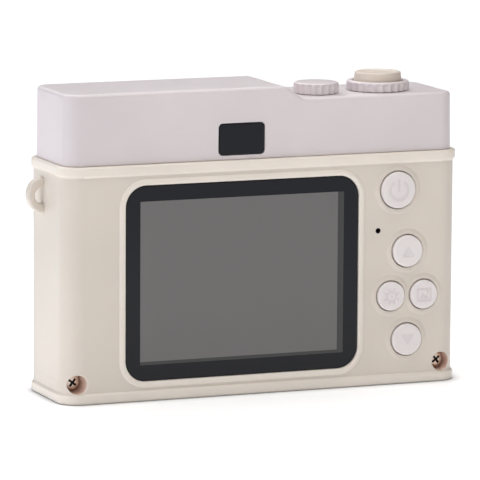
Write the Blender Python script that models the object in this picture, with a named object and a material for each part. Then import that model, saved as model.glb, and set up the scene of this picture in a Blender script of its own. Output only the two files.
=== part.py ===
"""Kids digital camera: beige two-part body, lilac top housing, rear screen and keys, shutter and two dials.

Metres, +Z up. The rear face with the screen looks along +Y, the lens along -Y.
The origin is the bottom centre of the whole camera's bounding box.
"""

import math

import bmesh
import bpy

MM = 0.001

# Body, a rounded rectangle in plan with a proud rim at its top and at its bottom.
BODY_WIDTH = 95.3 * MM
BODY_DEPTH = 24.3 * MM
BODY_HEIGHT = 53.05 * MM
BODY_RADIUS = 4.45 * MM
WALL = 2.0 * MM
RIM_PROUD = 0.5 * MM
RIM_HEIGHT = 2.2 * MM
FRONT_SHELL_DEPTH = 3.8 * MM
GAP = 0.3 * MM
KEY_PROUD = 1.0 * MM
LENS_REACH = 7.0 * MM

REAR = (BODY_DEPTH + LENS_REACH - KEY_PROUD) / 2
FRONT = REAR - BODY_DEPTH
PARTING = FRONT + FRONT_SHELL_DEPTH
MIDDLE = (REAR + FRONT) / 2

# Top housing: a tall part over +X, a short slope, and a low part over -X that carries the dials.
HOUSING_INSET = 0.75 * MM
HOUSING_RADIUS = 3.7 * MM
HOUSING_WALL = 1.8 * MM
HOUSING_BASE = BODY_HEIGHT + GAP
TALL_TOP = 69.0 * MM
LOW_TOP = 66.1 * MM
SLOPE_START_X = -5.2 * MM
SLOPE_END_X = -9.5 * MM
TONGUE_DEPTH = 3.2 * MM
TONGUE_WALL = 1.4 * MM
LEDGE = 1.5 * MM

# Screen.
SCREEN_X = 5.3 * MM
SCREEN_Z = 26.45 * MM
SCREEN_WIDTH = 56.0 * MM
SCREEN_HEIGHT = 43.9 * MM
SCREEN_RADIUS = 4.8 * MM
SCREEN_THICK = 1.2 * MM
SCREEN_BORDER = 2.6 * MM
LIP_WIDTH = 1.5 * MM
LIP_PROUD = 0.45 * MM

# Rear keys: name, centre X, centre Z, radius of the cap.
KEYS = (
    ("power", -32.3 * MM, 44.55 * MM, 4.2 * MM),
    ("up", -34.75 * MM, 30.5 * MM, 3.65 * MM),
    ("settings", -30.75 * MM, 20.35 * MM, 3.35 * MM),
    ("gallery", -38.85 * MM, 20.35 * MM, 3.35 * MM),
    ("down", -34.75 * MM, 10.2 * MM, 3.65 * MM),
)
KEY_GAP = 0.22 * MM
KEY_FLANGE = 0.45 * MM
KEY_STEM_END = 3.9 * MM
COLLAR_WIDTH = 1.15 * MM
COLLAR_PROUD = 0.45 * MM
SWITCH_TOP = 4.75 * MM
SWITCH_SIDE = 4.4 * MM
BOARD_REAR = 7.4 * MM
BOARD_THICK = 1.2 * MM

# Case screws, in wells at the two lower rear corners.
SCREW_Z = 4.52 * MM
WELL_RADIUS = 2.15 * MM
# Name, X and well depth of the two screws that close the case.
CASE_SCREWS = (("left", 44.4 * MM, 5.3 * MM), ("right", -43.6 * MM, 4.4 * MM))
HEAD_RADIUS = 1.6 * MM
HEAD_HEIGHT = 1.2 * MM
SHANK_RADIUS = 0.85 * MM
BOSS_RADIUS = 3.2 * MM
BOSS_SHORT = 4.5 * MM
BOSS_FLAT_X = 45.8 * MM

MIC_X = -27.6 * MM
MIC_Z = 35.4 * MM
MIC_HOLE_RADIUS = 0.5 * MM

# Strap lugs, D-shaped, moulded on both sides.
LUG_REACH = 3.7 * MM
LUG_HALF_HEIGHT = 4.1 * MM
LUG_Z = 45.3 * MM
LUG_REAR = REAR - 13.5 * MM
LUG_THICK = 2.8 * MM
LUG_BAR = 1.6 * MM
LUG_HOLE_HALF_HEIGHT = 2.1 * MM

# Shutter and dials, on one line over the middle of the low part.
DIAL_Y = REAR - 11.0 * MM
RING_X = -31.95 * MM
RING_RADIUS = 7.2 * MM
RING_TOP = 68.4 * MM
RING_BORE = 5.8 * MM
RING_NECK = 6.5 * MM
RING_NECK_END = 63.0 * MM
SHUTTER_TOP = 70.3 * MM
SHUTTER_TOP_RADIUS = 5.2 * MM
SHUTTER_RADIUS = 5.5 * MM
SHUTTER_FLANGE = 6.3 * MM
SHUTTER_STEM_END = 59.8 * MM
SMALL_X = -16.15 * MM
SMALL_Y = DIAL_Y + 1.5 * MM
SMALL_RADIUS = 5.1 * MM
SMALL_TOP = 68.8 * MM
SPINDLE_RADIUS = 1.5 * MM
SPINDLE_END = 62.4 * MM
FLUTE_DEPTH = 0.28 * MM
TOP_BOARD_Z = 55.2 * MM
POST_X = (-41.2 * MM, -22.7 * MM)

# Viewfinder and flash windows.
FINDER_X = 5.4 * MM
FINDER_Z = 57.7 * MM
FINDER_WIDTH = 10.85 * MM
FINDER_HEIGHT = 6.95 * MM
FINDER_RADIUS = 0.9 * MM
WINDOW_THICK = 1.0 * MM
FLASH_X = -20.0 * MM
FLASH_Z = 60.0 * MM
FLASH_WIDTH = 8.0 * MM
FLASH_HEIGHT = 5.4 * MM

# Lens, on the front.
LENS_X = 0.0
LENS_Z = 27.0 * MM
LENS_OUTER = 17.0 * MM
LENS_NECK = 12.7 * MM
LENS_BORE = 10.8 * MM
LENS_SEAT = 9.0 * MM

# Inside the body: where the bracket, the boards and what they carry lie.
BRACKET_REAR = REAR - 5.0 * MM
BRACKET_THICK = 0.8 * MM
BRACKET_LEFT = -24.8 * MM
BRACKET_RIGHT = 36.0 * MM
BRACKET_LOW = 10.0 * MM
BRACKET_HIGH = 43.0 * MM
BRACKET_POSTS = (
    (BRACKET_LEFT, BRACKET_LOW),
    (BRACKET_LEFT, BRACKET_HIGH),
    (BRACKET_RIGHT, BRACKET_LOW),
    (BRACKET_RIGHT, BRACKET_HIGH),
)
BOARD_SCREWS = ((BRACKET_LEFT, 27.5 * MM), (BRACKET_RIGHT, 26.5 * MM))
POST_RADIUS = 1.7 * MM
POST_BORE = 0.75 * MM
LCD_WIDTH = 54.0 * MM
LCD_HEIGHT = 42.0 * MM
LCD_THICK = 2.3 * MM
BOARD_LEFT = -40.0 * MM
BOARD_RIGHT = 37.5 * MM
BOARD_LOW = 8.7 * MM
BOARD_HIGH = 49.0 * MM
BOARD_FRONT = REAR - BOARD_REAR - BOARD_THICK
USB_Y = BOARD_FRONT - GAP - 1.6 * MM
USB_Z = 20.0 * MM
USB_LENGTH = 9.0 * MM
USB_THICK = 3.2 * MM
CARD_Y = BOARD_FRONT - GAP - 0.85 * MM
CARD_Z = 36.0 * MM
CARD_LENGTH = 14.0 * MM
CARD_THICK = 1.7 * MM
SPEAKER_X = -28.0 * MM
SPEAKER_Z = 15.0 * MM

CORNER_STEPS = 5
ROUND = 22


def clear_scene():
    for obj in list(bpy.data.objects):
        bpy.data.objects.remove(obj, do_unlink=True)


def make_material(name, colour, roughness, metallic=0.0):
    material = bpy.data.materials.new(name)
    material.use_nodes = True
    shader = material.node_tree.nodes["Principled BSDF"]
    shader.inputs["Base Color"].default_value = (*colour, 1.0)
    shader.inputs["Roughness"].default_value = roughness
    shader.inputs["Metallic"].default_value = metallic
    material.diffuse_color = (*colour, 1.0)
    return material


# Outlines.


def circle(radius, steps=ROUND, x=0.0, y=0.0):
    turn = 2 * math.pi / steps
    return [(x + radius * math.cos(i * turn), y + radius * math.sin(i * turn)) for i in range(steps)]


def fluted(radius, depth, flutes, steps_each=2):
    """A round outline with rounded ribs between narrow flutes."""
    points = []
    for i in range(flutes * steps_each):
        angle = 2 * math.pi * i / (flutes * steps_each)
        rib = abs(math.sin(angle * flutes / 2))
        r = radius - depth * (1 - rib)
        points.append((r * math.cos(angle), r * math.sin(angle)))
    return points


def rounded_rect(width, height, radius, x=0.0, y=0.0, steps=CORNER_STEPS):
    points = []
    for quarter, (sx, sy) in enumerate(((1, 1), (-1, 1), (-1, -1), (1, -1))):
        cx = x + sx * (width / 2 - radius)
        cy = y + sy * (height / 2 - radius)
        for i in range(steps + 1):
            angle = math.pi / 2 * (quarter + i / steps)
            points.append((cx + radius * math.cos(angle), cy + radius * math.sin(angle)))
    return points


def body_plan(offset):
    """The body's plan outline, moved out by offset."""
    return rounded_rect(
        BODY_WIDTH + 2 * offset, BODY_DEPTH + 2 * offset, BODY_RADIUS + offset, 0.0, MIDDLE
    )


def housing_plan(inset):
    shrink = 2 * (HOUSING_INSET + inset)
    return rounded_rect(
        BODY_WIDTH - shrink, BODY_DEPTH - shrink, max(HOUSING_RADIUS - inset, 1.2 * MM), 0.0, MIDDLE
    )


# Solids, each added to a bmesh as one closed body.


def add_loft(bm, loops):
    """Joins loops of equal length in order and caps both ends."""
    rows = [[bm.verts.new(point) for point in loop] for loop in loops]
    faces = [bm.faces.new(rows[0]), bm.faces.new(rows[-1])]
    for lower, upper in zip(rows, rows[1:]):
        for i in range(len(lower)):
            j = (i + 1) % len(lower)
            faces.append(bm.faces.new((lower[i], lower[j], upper[j], upper[i])))
    bmesh.ops.recalc_face_normals(bm, faces=faces)


def add_prism_z(bm, outline, low, high):
    add_loft(bm, [[(x, y, z) for x, y in outline] for z in (low, high)])


def add_prism_y(bm, outline, low, high):
    """The outline is (x, z)."""
    add_loft(bm, [[(x, y, z) for x, z in outline] for y in (low, high)])


def add_box(bm, low, high):
    corners = ((low[0], low[1]), (high[0], low[1]), (high[0], high[1]), (low[0], high[1]))
    add_prism_z(bm, corners, low[2], high[2])


def add_turned(bm, profile, x, other, along="Z", steps=ROUND):
    """Turns (radius, height) points about the Z axis at (x, y), or about the Y axis at (x, z)."""
    rows = []
    for radius, height in profile:
        ring = circle(max(radius, 0.0), steps, x, other)
        rows.append([(a, b, height) if along == "Z" else (a, height, b) for a, b in ring])
    add_loft(bm, rows)


def add_turned_ring(bm, profile, x, other, along="Z", steps=ROUND):
    """Turns a closed profile that stays clear of the axis."""
    rows = []
    for radius, height in profile:
        ring = circle(radius, steps, x, other)
        rows.append([bm.verts.new((a, b, height) if along == "Z" else (a, height, b)) for a, b in ring])
    faces = []
    for lower, upper in zip(rows, rows[1:] + rows[:1]):
        for i in range(steps):
            j = (i + 1) % steps
            faces.append(bm.faces.new((lower[i], lower[j], upper[j], upper[i])))
    bmesh.ops.recalc_face_normals(bm, faces=faces)


def make_object(name, bm, material=None, origin=(0.0, 0.0, 0.0)):
    """Writes the bmesh to a new object whose origin is at the given point."""
    bmesh.ops.translate(bm, verts=bm.verts, vec=[-c for c in origin])
    mesh = bpy.data.meshes.new(name)
    bm.to_mesh(mesh)
    bm.free()
    mesh.shade_smooth()
    mesh.set_sharp_from_angle(angle=math.radians(32))
    obj = bpy.data.objects.new(name, mesh)
    obj.location = origin
    bpy.context.scene.collection.objects.link(obj)
    if material:
        mesh.materials.append(material)
    return obj


def apply_tool(obj, operation, *builders):
    """Adds one Boolean for each builder, a function that fills a bmesh with closed bodies."""
    for builder in builders:
        bm = bmesh.new()
        builder(bm)
        tool = make_object(f"tool_{obj.name}_{len(obj.modifiers)}", bm)
        tool.hide_render = True
        tool.display_type = "WIRE"
        modifier = obj.modifiers.new(operation.title(), "BOOLEAN")
        modifier.operation = operation
        modifier.object = tool


def cut(obj, *builders):
    apply_tool(obj, "DIFFERENCE", *builders)


def unite(obj, *builders):
    apply_tool(obj, "UNION", *builders)


# Body shells.


def rim_levels():
    """(height, offset from the wall) from the floor up: bottom rim, wall, top rim."""
    rise = RIM_HEIGHT
    half = ((0.0, -0.45), (0.13, 0.15), (0.33, 0.85), (0.5, 1.0), (0.67, 0.85), (0.87, 0.35), (1.0, 0.0))
    bottom = [(rise * h, RIM_PROUD * o) for h, o in half]
    top = [(BODY_HEIGHT - z, offset) for z, offset in reversed(bottom)]
    return bottom + top


def add_body_block(bm):
    add_loft(bm, [[(x, y, z) for x, y in body_plan(offset)] for z, offset in rim_levels()])


def add_body_cavity(bm):
    add_prism_z(bm, body_plan(-WALL), WALL, BODY_HEIGHT + 5 * MM)


def add_screen_recess(bm):
    outline = rounded_rect(
        SCREEN_WIDTH + GAP, SCREEN_HEIGHT + GAP, SCREEN_RADIUS + GAP / 2, SCREEN_X, SCREEN_Z
    )
    add_prism_y(bm, outline, REAR - SCREEN_THICK - GAP, REAR + 2 * MM)


def add_screen_opening(bm):
    inner = rounded_rect(
        SCREEN_WIDTH - 2 * SCREEN_BORDER,
        SCREEN_HEIGHT - 2 * SCREEN_BORDER,
        SCREEN_RADIUS / 2,
        SCREEN_X,
        SCREEN_Z,
    )
    add_prism_y(bm, inner, REAR - 2 * WALL, REAR + MM)


def add_screen_lip(bm):
    """The raised lip round the screen, with a chamfered outer edge."""
    levels = ((LIP_WIDTH, -0.5 * MM), (LIP_WIDTH, 0.1 * MM), (LIP_WIDTH * 0.55, LIP_PROUD))
    loops = []
    for width, height in levels:
        outline = rounded_rect(
            SCREEN_WIDTH + 2 * width, SCREEN_HEIGHT + 2 * width, SCREEN_RADIUS + width, SCREEN_X, SCREEN_Z
        )
        loops.append([(x, REAR + height, z) for x, z in outline])
    add_loft(bm, loops)


def collar_builder(x, z, radius):
    """A raised collar round one key; neighbours' collars run into each other."""
    outer = radius + KEY_GAP + COLLAR_WIDTH
    profile = ((outer, -0.5 * MM), (outer, 0.15 * MM), (outer - 0.35 * MM, COLLAR_PROUD))

    def add_collar(bm):
        add_turned(bm, [(r, REAR + h) for r, h in profile], x, z, "Y")

    return add_collar


def add_key_holes(bm):
    for _, x, z, radius in KEYS:
        add_prism_y(bm, circle(radius + KEY_GAP, ROUND, x, z), REAR - 2 * WALL, REAR + MM)
    add_prism_y(bm, circle(MIC_HOLE_RADIUS, 12, MIC_X, MIC_Z), REAR - 2 * WALL, REAR + MM)


def add_case_bosses(bm):
    """Round bosses for the case screws, short of where the body's corners curve in."""
    for _, x, _ in CASE_SCREWS:
        add_prism_y(bm, circle(BOSS_RADIUS, 20, x, SCREW_Z), PARTING + GAP, REAR - BOSS_SHORT)


def flat_sided_circle(radius, x):
    """A circle round a case screw, flat on its outer side so that it stays inside the corners."""
    return [(max(-BOSS_FLAT_X, min(BOSS_FLAT_X, px)), pz) for px, pz in circle(radius, 20, x, SCREW_Z)]


def add_boss_ends(bm):
    for _, x, _ in CASE_SCREWS:
        add_prism_y(bm, flat_sided_circle(BOSS_RADIUS, x), REAR - BOSS_SHORT - MM, REAR - WALL / 2)


def add_bracket_posts(bm):
    for x, z in BRACKET_POSTS:
        add_prism_y(bm, circle(POST_RADIUS, 16, x, z), BRACKET_REAR + GAP, REAR - WALL / 2)
    for x, z in BOARD_SCREWS:
        add_prism_y(bm, circle(POST_RADIUS, 16, x, z), REAR - BOARD_REAR + GAP, REAR - WALL / 2)


def add_screw_wells(bm):
    for _, x, depth in CASE_SCREWS:
        well = [
            (WELL_RADIUS, REAR - depth),
            (WELL_RADIUS, REAR - 0.6 * MM),
            (WELL_RADIUS + 0.55 * MM, REAR + 0.05 * MM),
            (WELL_RADIUS + 0.55 * MM, REAR + MM),
        ]
        add_turned(bm, well, x, SCREW_Z, "Y", 24)


def add_case_screw_bores(bm):
    for _, x, depth in CASE_SCREWS:
        bore = circle(SHANK_RADIUS + 0.2 * MM, 16, x, SCREW_Z)
        add_prism_y(bm, bore, FRONT + 1.6 * MM, REAR - depth + MM)


def add_post_bores(bm):
    end = REAR - WALL - 0.5 * MM
    for x, z in BRACKET_POSTS:
        add_prism_y(bm, circle(POST_BORE, 12, x, z), BRACKET_REAR - MM, end)
    for x, z in BOARD_SCREWS:
        add_prism_y(bm, circle(POST_BORE, 12, x, z), REAR - BOARD_REAR - MM, end)


def lug_outline(side, reach, half_height):
    """Half an ellipse outside the wall, closed by a short straight foot inside it."""
    wall = BODY_WIDTH / 2
    foot = 0.8 * MM
    arc = [math.pi / 2 - math.pi * i / 12 for i in range(13)]
    points = [(side * (wall + reach * math.cos(a)), LUG_Z + half_height * math.sin(a)) for a in arc]
    low = (side * (wall - foot), LUG_Z - half_height)
    high = (side * (wall - foot), LUG_Z + half_height)
    return points + [low, high]


def add_lugs(bm):
    for side in (-1, 1):
        outline = lug_outline(side, LUG_REACH, LUG_HALF_HEIGHT)
        add_prism_y(bm, outline, LUG_REAR - LUG_THICK, LUG_REAR)


def add_lug_holes(bm):
    wall = BODY_WIDTH / 2
    reach = LUG_REACH - LUG_BAR
    half_height = LUG_HOLE_HALF_HEIGHT
    for side in (-1, 1):
        arc = [math.pi / 2 - math.pi * i / 10 for i in range(11)]
        points = [
            (side * (wall + 0.02 * MM + reach * math.cos(a)), LUG_Z + half_height * math.sin(a))
            for a in arc
        ]
        add_prism_y(bm, points, LUG_REAR - LUG_THICK - MM, LUG_REAR + MM)


def add_port_openings(bm):
    """The charging port and the memory card slot, through the -X wall."""
    wall = -BODY_WIDTH / 2
    port = (USB_Z, USB_Y, USB_LENGTH + 2 * GAP, USB_THICK + 2 * GAP)
    slot = (CARD_Z, CARD_Y, CARD_LENGTH - 1.8 * MM, CARD_THICK)
    for z, y, length, height in (port, slot):
        low = (wall - MM, y - height / 2, z - length / 2)
        high = (wall + WALL + MM, y + height / 2, z + length / 2)
        add_box(bm, low, high)


def add_front_half(bm):
    far = BODY_WIDTH
    add_box(bm, (-far, FRONT - 5 * MM, -5 * MM), (far, PARTING + GAP / 2, BODY_HEIGHT + 9 * MM))


def add_rear_half(bm):
    far = BODY_WIDTH
    add_box(bm, (-far, PARTING - GAP / 2, -5 * MM), (far, REAR + 5 * MM, BODY_HEIGHT + 9 * MM))


def make_rear_shell(material):
    bm = bmesh.new()
    add_body_block(bm)
    shell = make_object("rear_shell", bm, material)
    cut(shell, add_body_cavity)
    unite(shell, add_case_bosses, add_boss_ends, add_bracket_posts, add_lugs)
    cut(shell, add_front_half)
    unite(shell, add_screen_lip)
    unite(shell, *(collar_builder(x, z, radius) for _, x, z, radius in KEYS))
    cut(shell, add_screen_opening, add_screen_recess, add_key_holes)
    cut(shell, add_screw_wells, add_case_screw_bores, add_post_bores, add_lug_holes, add_port_openings)
    return shell


def add_lens_hole(bm):
    add_prism_y(bm, circle(LENS_NECK + GAP, 32, LENS_X, LENS_Z), FRONT - 2 * MM, FRONT + 2 * WALL)


def add_speaker_holes(bm):
    for i in range(7):
        angle = math.tau * i / 6
        ring = 0.0 if i == 6 else 2.8 * MM
        centre_x = SPEAKER_X + ring * math.cos(angle)
        centre_z = SPEAKER_Z + ring * math.sin(angle)
        add_prism_y(bm, circle(0.6 * MM, 10, centre_x, centre_z), FRONT - MM, FRONT + 2 * WALL)


def add_front_sockets(bm):
    for _, x, _ in CASE_SCREWS:
        add_prism_y(bm, flat_sided_circle(2.6 * MM, x), FRONT + WALL / 2, PARTING - GAP)


def make_front_shell(material):
    bm = bmesh.new()
    add_body_block(bm)
    shell = make_object("front_shell", bm, material)
    cut(shell, add_body_cavity, add_rear_half)
    unite(shell, add_front_sockets)
    cut(shell, add_lens_hole, add_speaker_holes, add_case_screw_bores)
    return shell


# Top housing.


def add_above_low_part(bm):
    """Everything over the slope and the low part."""
    high = TALL_TOP + 5 * MM
    far = -BODY_WIDTH
    run = SLOPE_START_X - SLOPE_END_X
    lift = TALL_TOP - LOW_TOP
    over = 5 * MM
    outline = [
        (far, LOW_TOP),
        (SLOPE_END_X, LOW_TOP),
        (SLOPE_START_X + over * run / lift, TALL_TOP + over),
        (far, high),
    ]
    add_prism_y(bm, outline, FRONT - 5 * MM, REAR + 5 * MM)


def add_housing_low_cavity(bm):
    """The hollow under the low part, which passes on into the tall part's."""
    low_plan = housing_plan(HOUSING_WALL)
    add_prism_z(bm, low_plan, HOUSING_BASE + LEDGE, LOW_TOP - HOUSING_WALL)


def add_housing_tall_cavity(bm):
    shrink = 2 * (HOUSING_INSET + HOUSING_WALL)
    right = BODY_WIDTH / 2 - HOUSING_INSET - HOUSING_WALL
    left = SLOPE_START_X + HOUSING_WALL
    depth = BODY_DEPTH - shrink
    outline = rounded_rect(right - left, depth, 1.9 * MM, (right + left) / 2, MIDDLE)
    add_prism_z(bm, outline, HOUSING_BASE + 3 * MM, TALL_TOP - HOUSING_WALL)


def add_tongue(bm):
    add_prism_z(bm, body_plan(-WALL - GAP), BODY_HEIGHT - TONGUE_DEPTH, HOUSING_BASE + LEDGE / 2)


def add_tongue_bore(bm):
    outline = body_plan(-WALL - GAP - TONGUE_WALL)
    add_prism_z(bm, outline, BODY_HEIGHT - TONGUE_DEPTH - MM, HOUSING_BASE + LEDGE + MM)


def add_top_board_posts(bm):
    for x in POST_X:
        low = TOP_BOARD_Z + BOARD_THICK + GAP
        add_prism_z(bm, circle(1.8 * MM, 16, x, DIAL_Y), low, LOW_TOP - HOUSING_WALL / 2)


def add_top_openings(bm):
    low = LOW_TOP - 2 * HOUSING_WALL
    high = LOW_TOP + MM
    add_prism_z(bm, circle(RING_NECK + GAP, 28, RING_X, DIAL_Y), low, high)
    add_prism_z(bm, circle(SPINDLE_RADIUS + 0.25 * MM, 20, SMALL_X, SMALL_Y), low, high)
    for x in POST_X:
        add_prism_z(bm, circle(0.75 * MM, 12, x, DIAL_Y), TOP_BOARD_Z, TOP_BOARD_Z + 7 * MM)


def window_levels(width, height, radius, x, z, face, inward):
    """A recess for a window and the smaller opening behind it; inward is +1 or -1 along Y."""
    recess = rounded_rect(width + GAP, height + GAP, radius + GAP / 2, x, z)
    opening = rounded_rect(width - 1.6 * MM, height - 1.6 * MM, radius / 2, x, z)
    recess_end = face + inward * (WINDOW_THICK + GAP)
    return (recess, face - inward * MM, recess_end), (opening, face, face + inward * 2 * HOUSING_WALL)


def front_windows():
    face = FRONT + HOUSING_INSET
    finder = window_levels(FINDER_WIDTH, FINDER_HEIGHT, FINDER_RADIUS, FINDER_X, FINDER_Z, face, 1)
    flash = window_levels(FLASH_WIDTH, FLASH_HEIGHT, FINDER_RADIUS, FLASH_X, FLASH_Z, face, 1)
    return finder, flash


def add_window_recesses(bm):
    rear = window_levels(
        FINDER_WIDTH, FINDER_HEIGHT, FINDER_RADIUS, FINDER_X, FINDER_Z, REAR - HOUSING_INSET, -1
    )
    for (outline, start, end), _ in (rear, *front_windows()):
        add_prism_y(bm, outline, min(start, end), max(start, end))


def add_window_openings(bm):
    rear = window_levels(
        FINDER_WIDTH, FINDER_HEIGHT, FINDER_RADIUS, FINDER_X, FINDER_Z, REAR - HOUSING_INSET, -1
    )
    for _, (outline, start, end) in (rear, *front_windows()):
        add_prism_y(bm, outline, min(start, end), max(start, end))


def make_top_housing(material):
    bm = bmesh.new()
    add_prism_z(bm, housing_plan(0.0), HOUSING_BASE, TALL_TOP)
    housing = make_object("top_housing", bm, material)
    cut(housing, add_above_low_part)
    unite(housing, add_tongue)
    cut(housing, add_tongue_bore, add_housing_low_cavity, add_housing_tall_cavity)
    unite(housing, add_top_board_posts)
    cut(housing, add_top_openings, add_window_openings, add_window_recesses)
    return housing


# Windows.


def make_plate(name, outline, low, high, material):
    bm = bmesh.new()
    add_prism_y(bm, outline, low, high)
    return make_object(name, bm, material)


def make_windows(gloss_black, clear):
    screen = rounded_rect(SCREEN_WIDTH, SCREEN_HEIGHT, SCREEN_RADIUS, SCREEN_X, SCREEN_Z)
    make_plate("screen_window", screen, REAR - SCREEN_THICK, REAR, gloss_black)
    finder = rounded_rect(FINDER_WIDTH, FINDER_HEIGHT, FINDER_RADIUS, FINDER_X, FINDER_Z, 3)
    rear_face = REAR - HOUSING_INSET
    front_face = FRONT + HOUSING_INSET
    make_plate("viewfinder_rear_window", finder, rear_face - WINDOW_THICK, rear_face, gloss_black)
    make_plate("viewfinder_front_window", finder, front_face, front_face + WINDOW_THICK, gloss_black)
    flash = rounded_rect(FLASH_WIDTH, FLASH_HEIGHT, FINDER_RADIUS, FLASH_X, FLASH_Z, 3)
    make_plate("flash_window", flash, front_face, front_face + WINDOW_THICK, clear)


def make_viewfinder_tube(material):
    bm = bmesh.new()
    outer = rounded_rect(13.2 * MM, 8.2 * MM, 1.5 * MM, FINDER_X, FINDER_Z, 2)
    low = FRONT + 4.2 * MM
    high = REAR - 4.2 * MM
    add_prism_y(bm, outer, low, high)
    tube = make_object("viewfinder_tube", bm, material)

    def add_bore(bore):
        inner = rounded_rect(10.6 * MM, 5.8 * MM, 0.8 * MM, FINDER_X, FINDER_Z, 2)
        add_prism_y(bore, inner, low - MM, high + MM)

    cut(tube, add_bore)


# Rear keys and their switches.


def make_keys(cap_material, switch_material):
    for name, x, z, radius in KEYS:
        bm = bmesh.new()
        flange = radius + KEY_FLANGE
        profile = (
            (1.1 * MM, -KEY_STEM_END),
            (1.1 * MM, -WALL - GAP - 0.8 * MM),
            (flange, -WALL - GAP - 0.8 * MM),
            (flange, -WALL - GAP),
            (radius, -WALL - GAP),
            (radius, KEY_PROUD - 0.45 * MM),
            (radius - 0.15 * MM, KEY_PROUD - 0.15 * MM),
            (radius - 0.5 * MM, KEY_PROUD),
        )
        add_turned(bm, [(r, REAR + h) for r, h in profile], x, z, "Y")
        make_object(f"{name}_button", bm, cap_material, (x, REAR, z))
        make_key_switch(f"{name}_switch", x, z, switch_material)


def make_key_switch(name, x, z, material):
    """A tact switch: a square case and a round plunger, one piece."""
    half = SWITCH_SIDE / 2
    case_rear = REAR - SWITCH_TOP - 0.6 * MM
    bm = bmesh.new()
    add_box(bm, (x - half, REAR - BOARD_REAR + GAP, z - half), (x + half, case_rear, z + half))
    switch = make_object(name, bm, material)
    plunger_end = REAR - SWITCH_TOP

    def add_plunger(tool):
        add_prism_y(tool, circle(1.0 * MM, 12, x, z), case_rear - 0.3 * MM, plunger_end)

    unite(switch, add_plunger)


# Shutter, dials and what holds them.


def dial_loops(radius, flutes, low, high, edge, steps_each=2):
    """Fluted skirt loops from low to high, then a smooth rounded edge."""
    skirt = fluted(radius, FLUTE_DEPTH, flutes, steps_each)
    smooth = circle(radius - edge * 0.4, flutes * steps_each)
    crown = circle(radius - edge, flutes * steps_each)
    shoulder = high - edge
    return [(skirt, low), (skirt, shoulder), (smooth, high - edge * 0.35), (crown, high)]


def make_small_dial(material, steel):
    bm = bmesh.new()
    steps = 36
    spindle = circle(SPINDLE_RADIUS, steps)
    groove = circle(SPINDLE_RADIUS - 0.4 * MM, steps)
    groove_low = LOW_TOP - HOUSING_WALL - GAP - 0.7 * MM
    groove_high = LOW_TOP - HOUSING_WALL - GAP
    base = LOW_TOP + 0.25 * MM
    levels = [
        (spindle, SPINDLE_END),
        (spindle, groove_low),
        (groove, groove_low),
        (groove, groove_high),
        (spindle, groove_high),
        (spindle, base),
    ] + dial_loops(SMALL_RADIUS, 18, base, SMALL_TOP, 0.5 * MM)
    loops = [[(SMALL_X + x, SMALL_Y + y, z) for x, y in outline] for outline, z in levels]
    add_loft(bm, loops)
    make_object("small_dial", bm, material, (SMALL_X, SMALL_Y, LOW_TOP))
    make_clip("small_dial_clip", SMALL_X, SMALL_Y, SPINDLE_RADIUS - 0.2 * MM, 3.0 * MM, groove_low, steel)


def make_clip(name, x, y, inner, outer, groove_low, material):
    """A C-shaped retaining clip in its groove, open towards the front."""
    bm = bmesh.new()
    gap = math.radians(20)
    steps = 24
    angles = [-math.pi / 2 + gap + (2 * math.pi - 2 * gap) * i / steps for i in range(steps + 1)]
    outside = [(x + outer * math.cos(a), y + outer * math.sin(a)) for a in angles]
    inside = [(x + inner * math.cos(a), y + inner * math.sin(a)) for a in reversed(angles)]
    low = groove_low + 0.1 * MM
    rows = []
    for z in (low, low + 0.5 * MM):
        rows.append([bm.verts.new((a, b, z)) for a, b in outside + inside])
    count = steps + 1
    faces = []
    for row in rows:
        for i in range(steps):
            faces.append(bm.faces.new((row[i], row[i + 1], row[2 * count - 2 - i], row[2 * count - 1 - i])))
    for i in range(2 * count):
        j = (i + 1) % (2 * count)
        faces.append(bm.faces.new((rows[0][i], rows[0][j], rows[1][j], rows[1][i])))
    bmesh.ops.recalc_face_normals(bm, faces=faces)
    make_object(name, bm, material, (x, y, LOW_TOP))


def make_shutter_ring(material, steel):
    """The fluted ring round the shutter, with a neck that passes through the housing."""
    flutes, steps_each = 24, 2
    steps = flutes * steps_each
    groove_low = LOW_TOP - HOUSING_WALL - GAP - 0.7 * MM
    groove_high = LOW_TOP - HOUSING_WALL - GAP
    base = LOW_TOP + 0.25 * MM
    neck = circle(RING_NECK, steps)
    groove = circle(RING_NECK - 0.3 * MM, steps)
    bore = circle(RING_BORE, steps)
    mouth = circle(RING_BORE + 0.25 * MM, steps)
    levels = [
        (bore, RING_TOP - 0.25 * MM),
        (bore, RING_NECK_END),
        (neck, RING_NECK_END),
        (neck, groove_low),
        (groove, groove_low),
        (groove, groove_high),
        (neck, groove_high),
        (neck, base),
    ] + dial_loops(RING_RADIUS, flutes, base, RING_TOP, 0.45 * MM, steps_each)
    levels.append((mouth, RING_TOP))
    bm = bmesh.new()
    rows = [[bm.verts.new((RING_X + x, DIAL_Y + y, z)) for x, y in outline] for outline, z in levels]
    faces = []
    for lower, upper in zip(rows, rows[1:] + rows[:1]):
        for i in range(steps):
            j = (i + 1) % steps
            faces.append(bm.faces.new((lower[i], lower[j], upper[j], upper[i])))
    bmesh.ops.recalc_face_normals(bm, faces=faces)
    make_object("shutter_ring", bm, material, (RING_X, DIAL_Y, LOW_TOP))
    make_clip("shutter_ring_clip", RING_X, DIAL_Y, RING_NECK - 0.15 * MM, 7.15 * MM, groove_low, steel)


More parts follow.
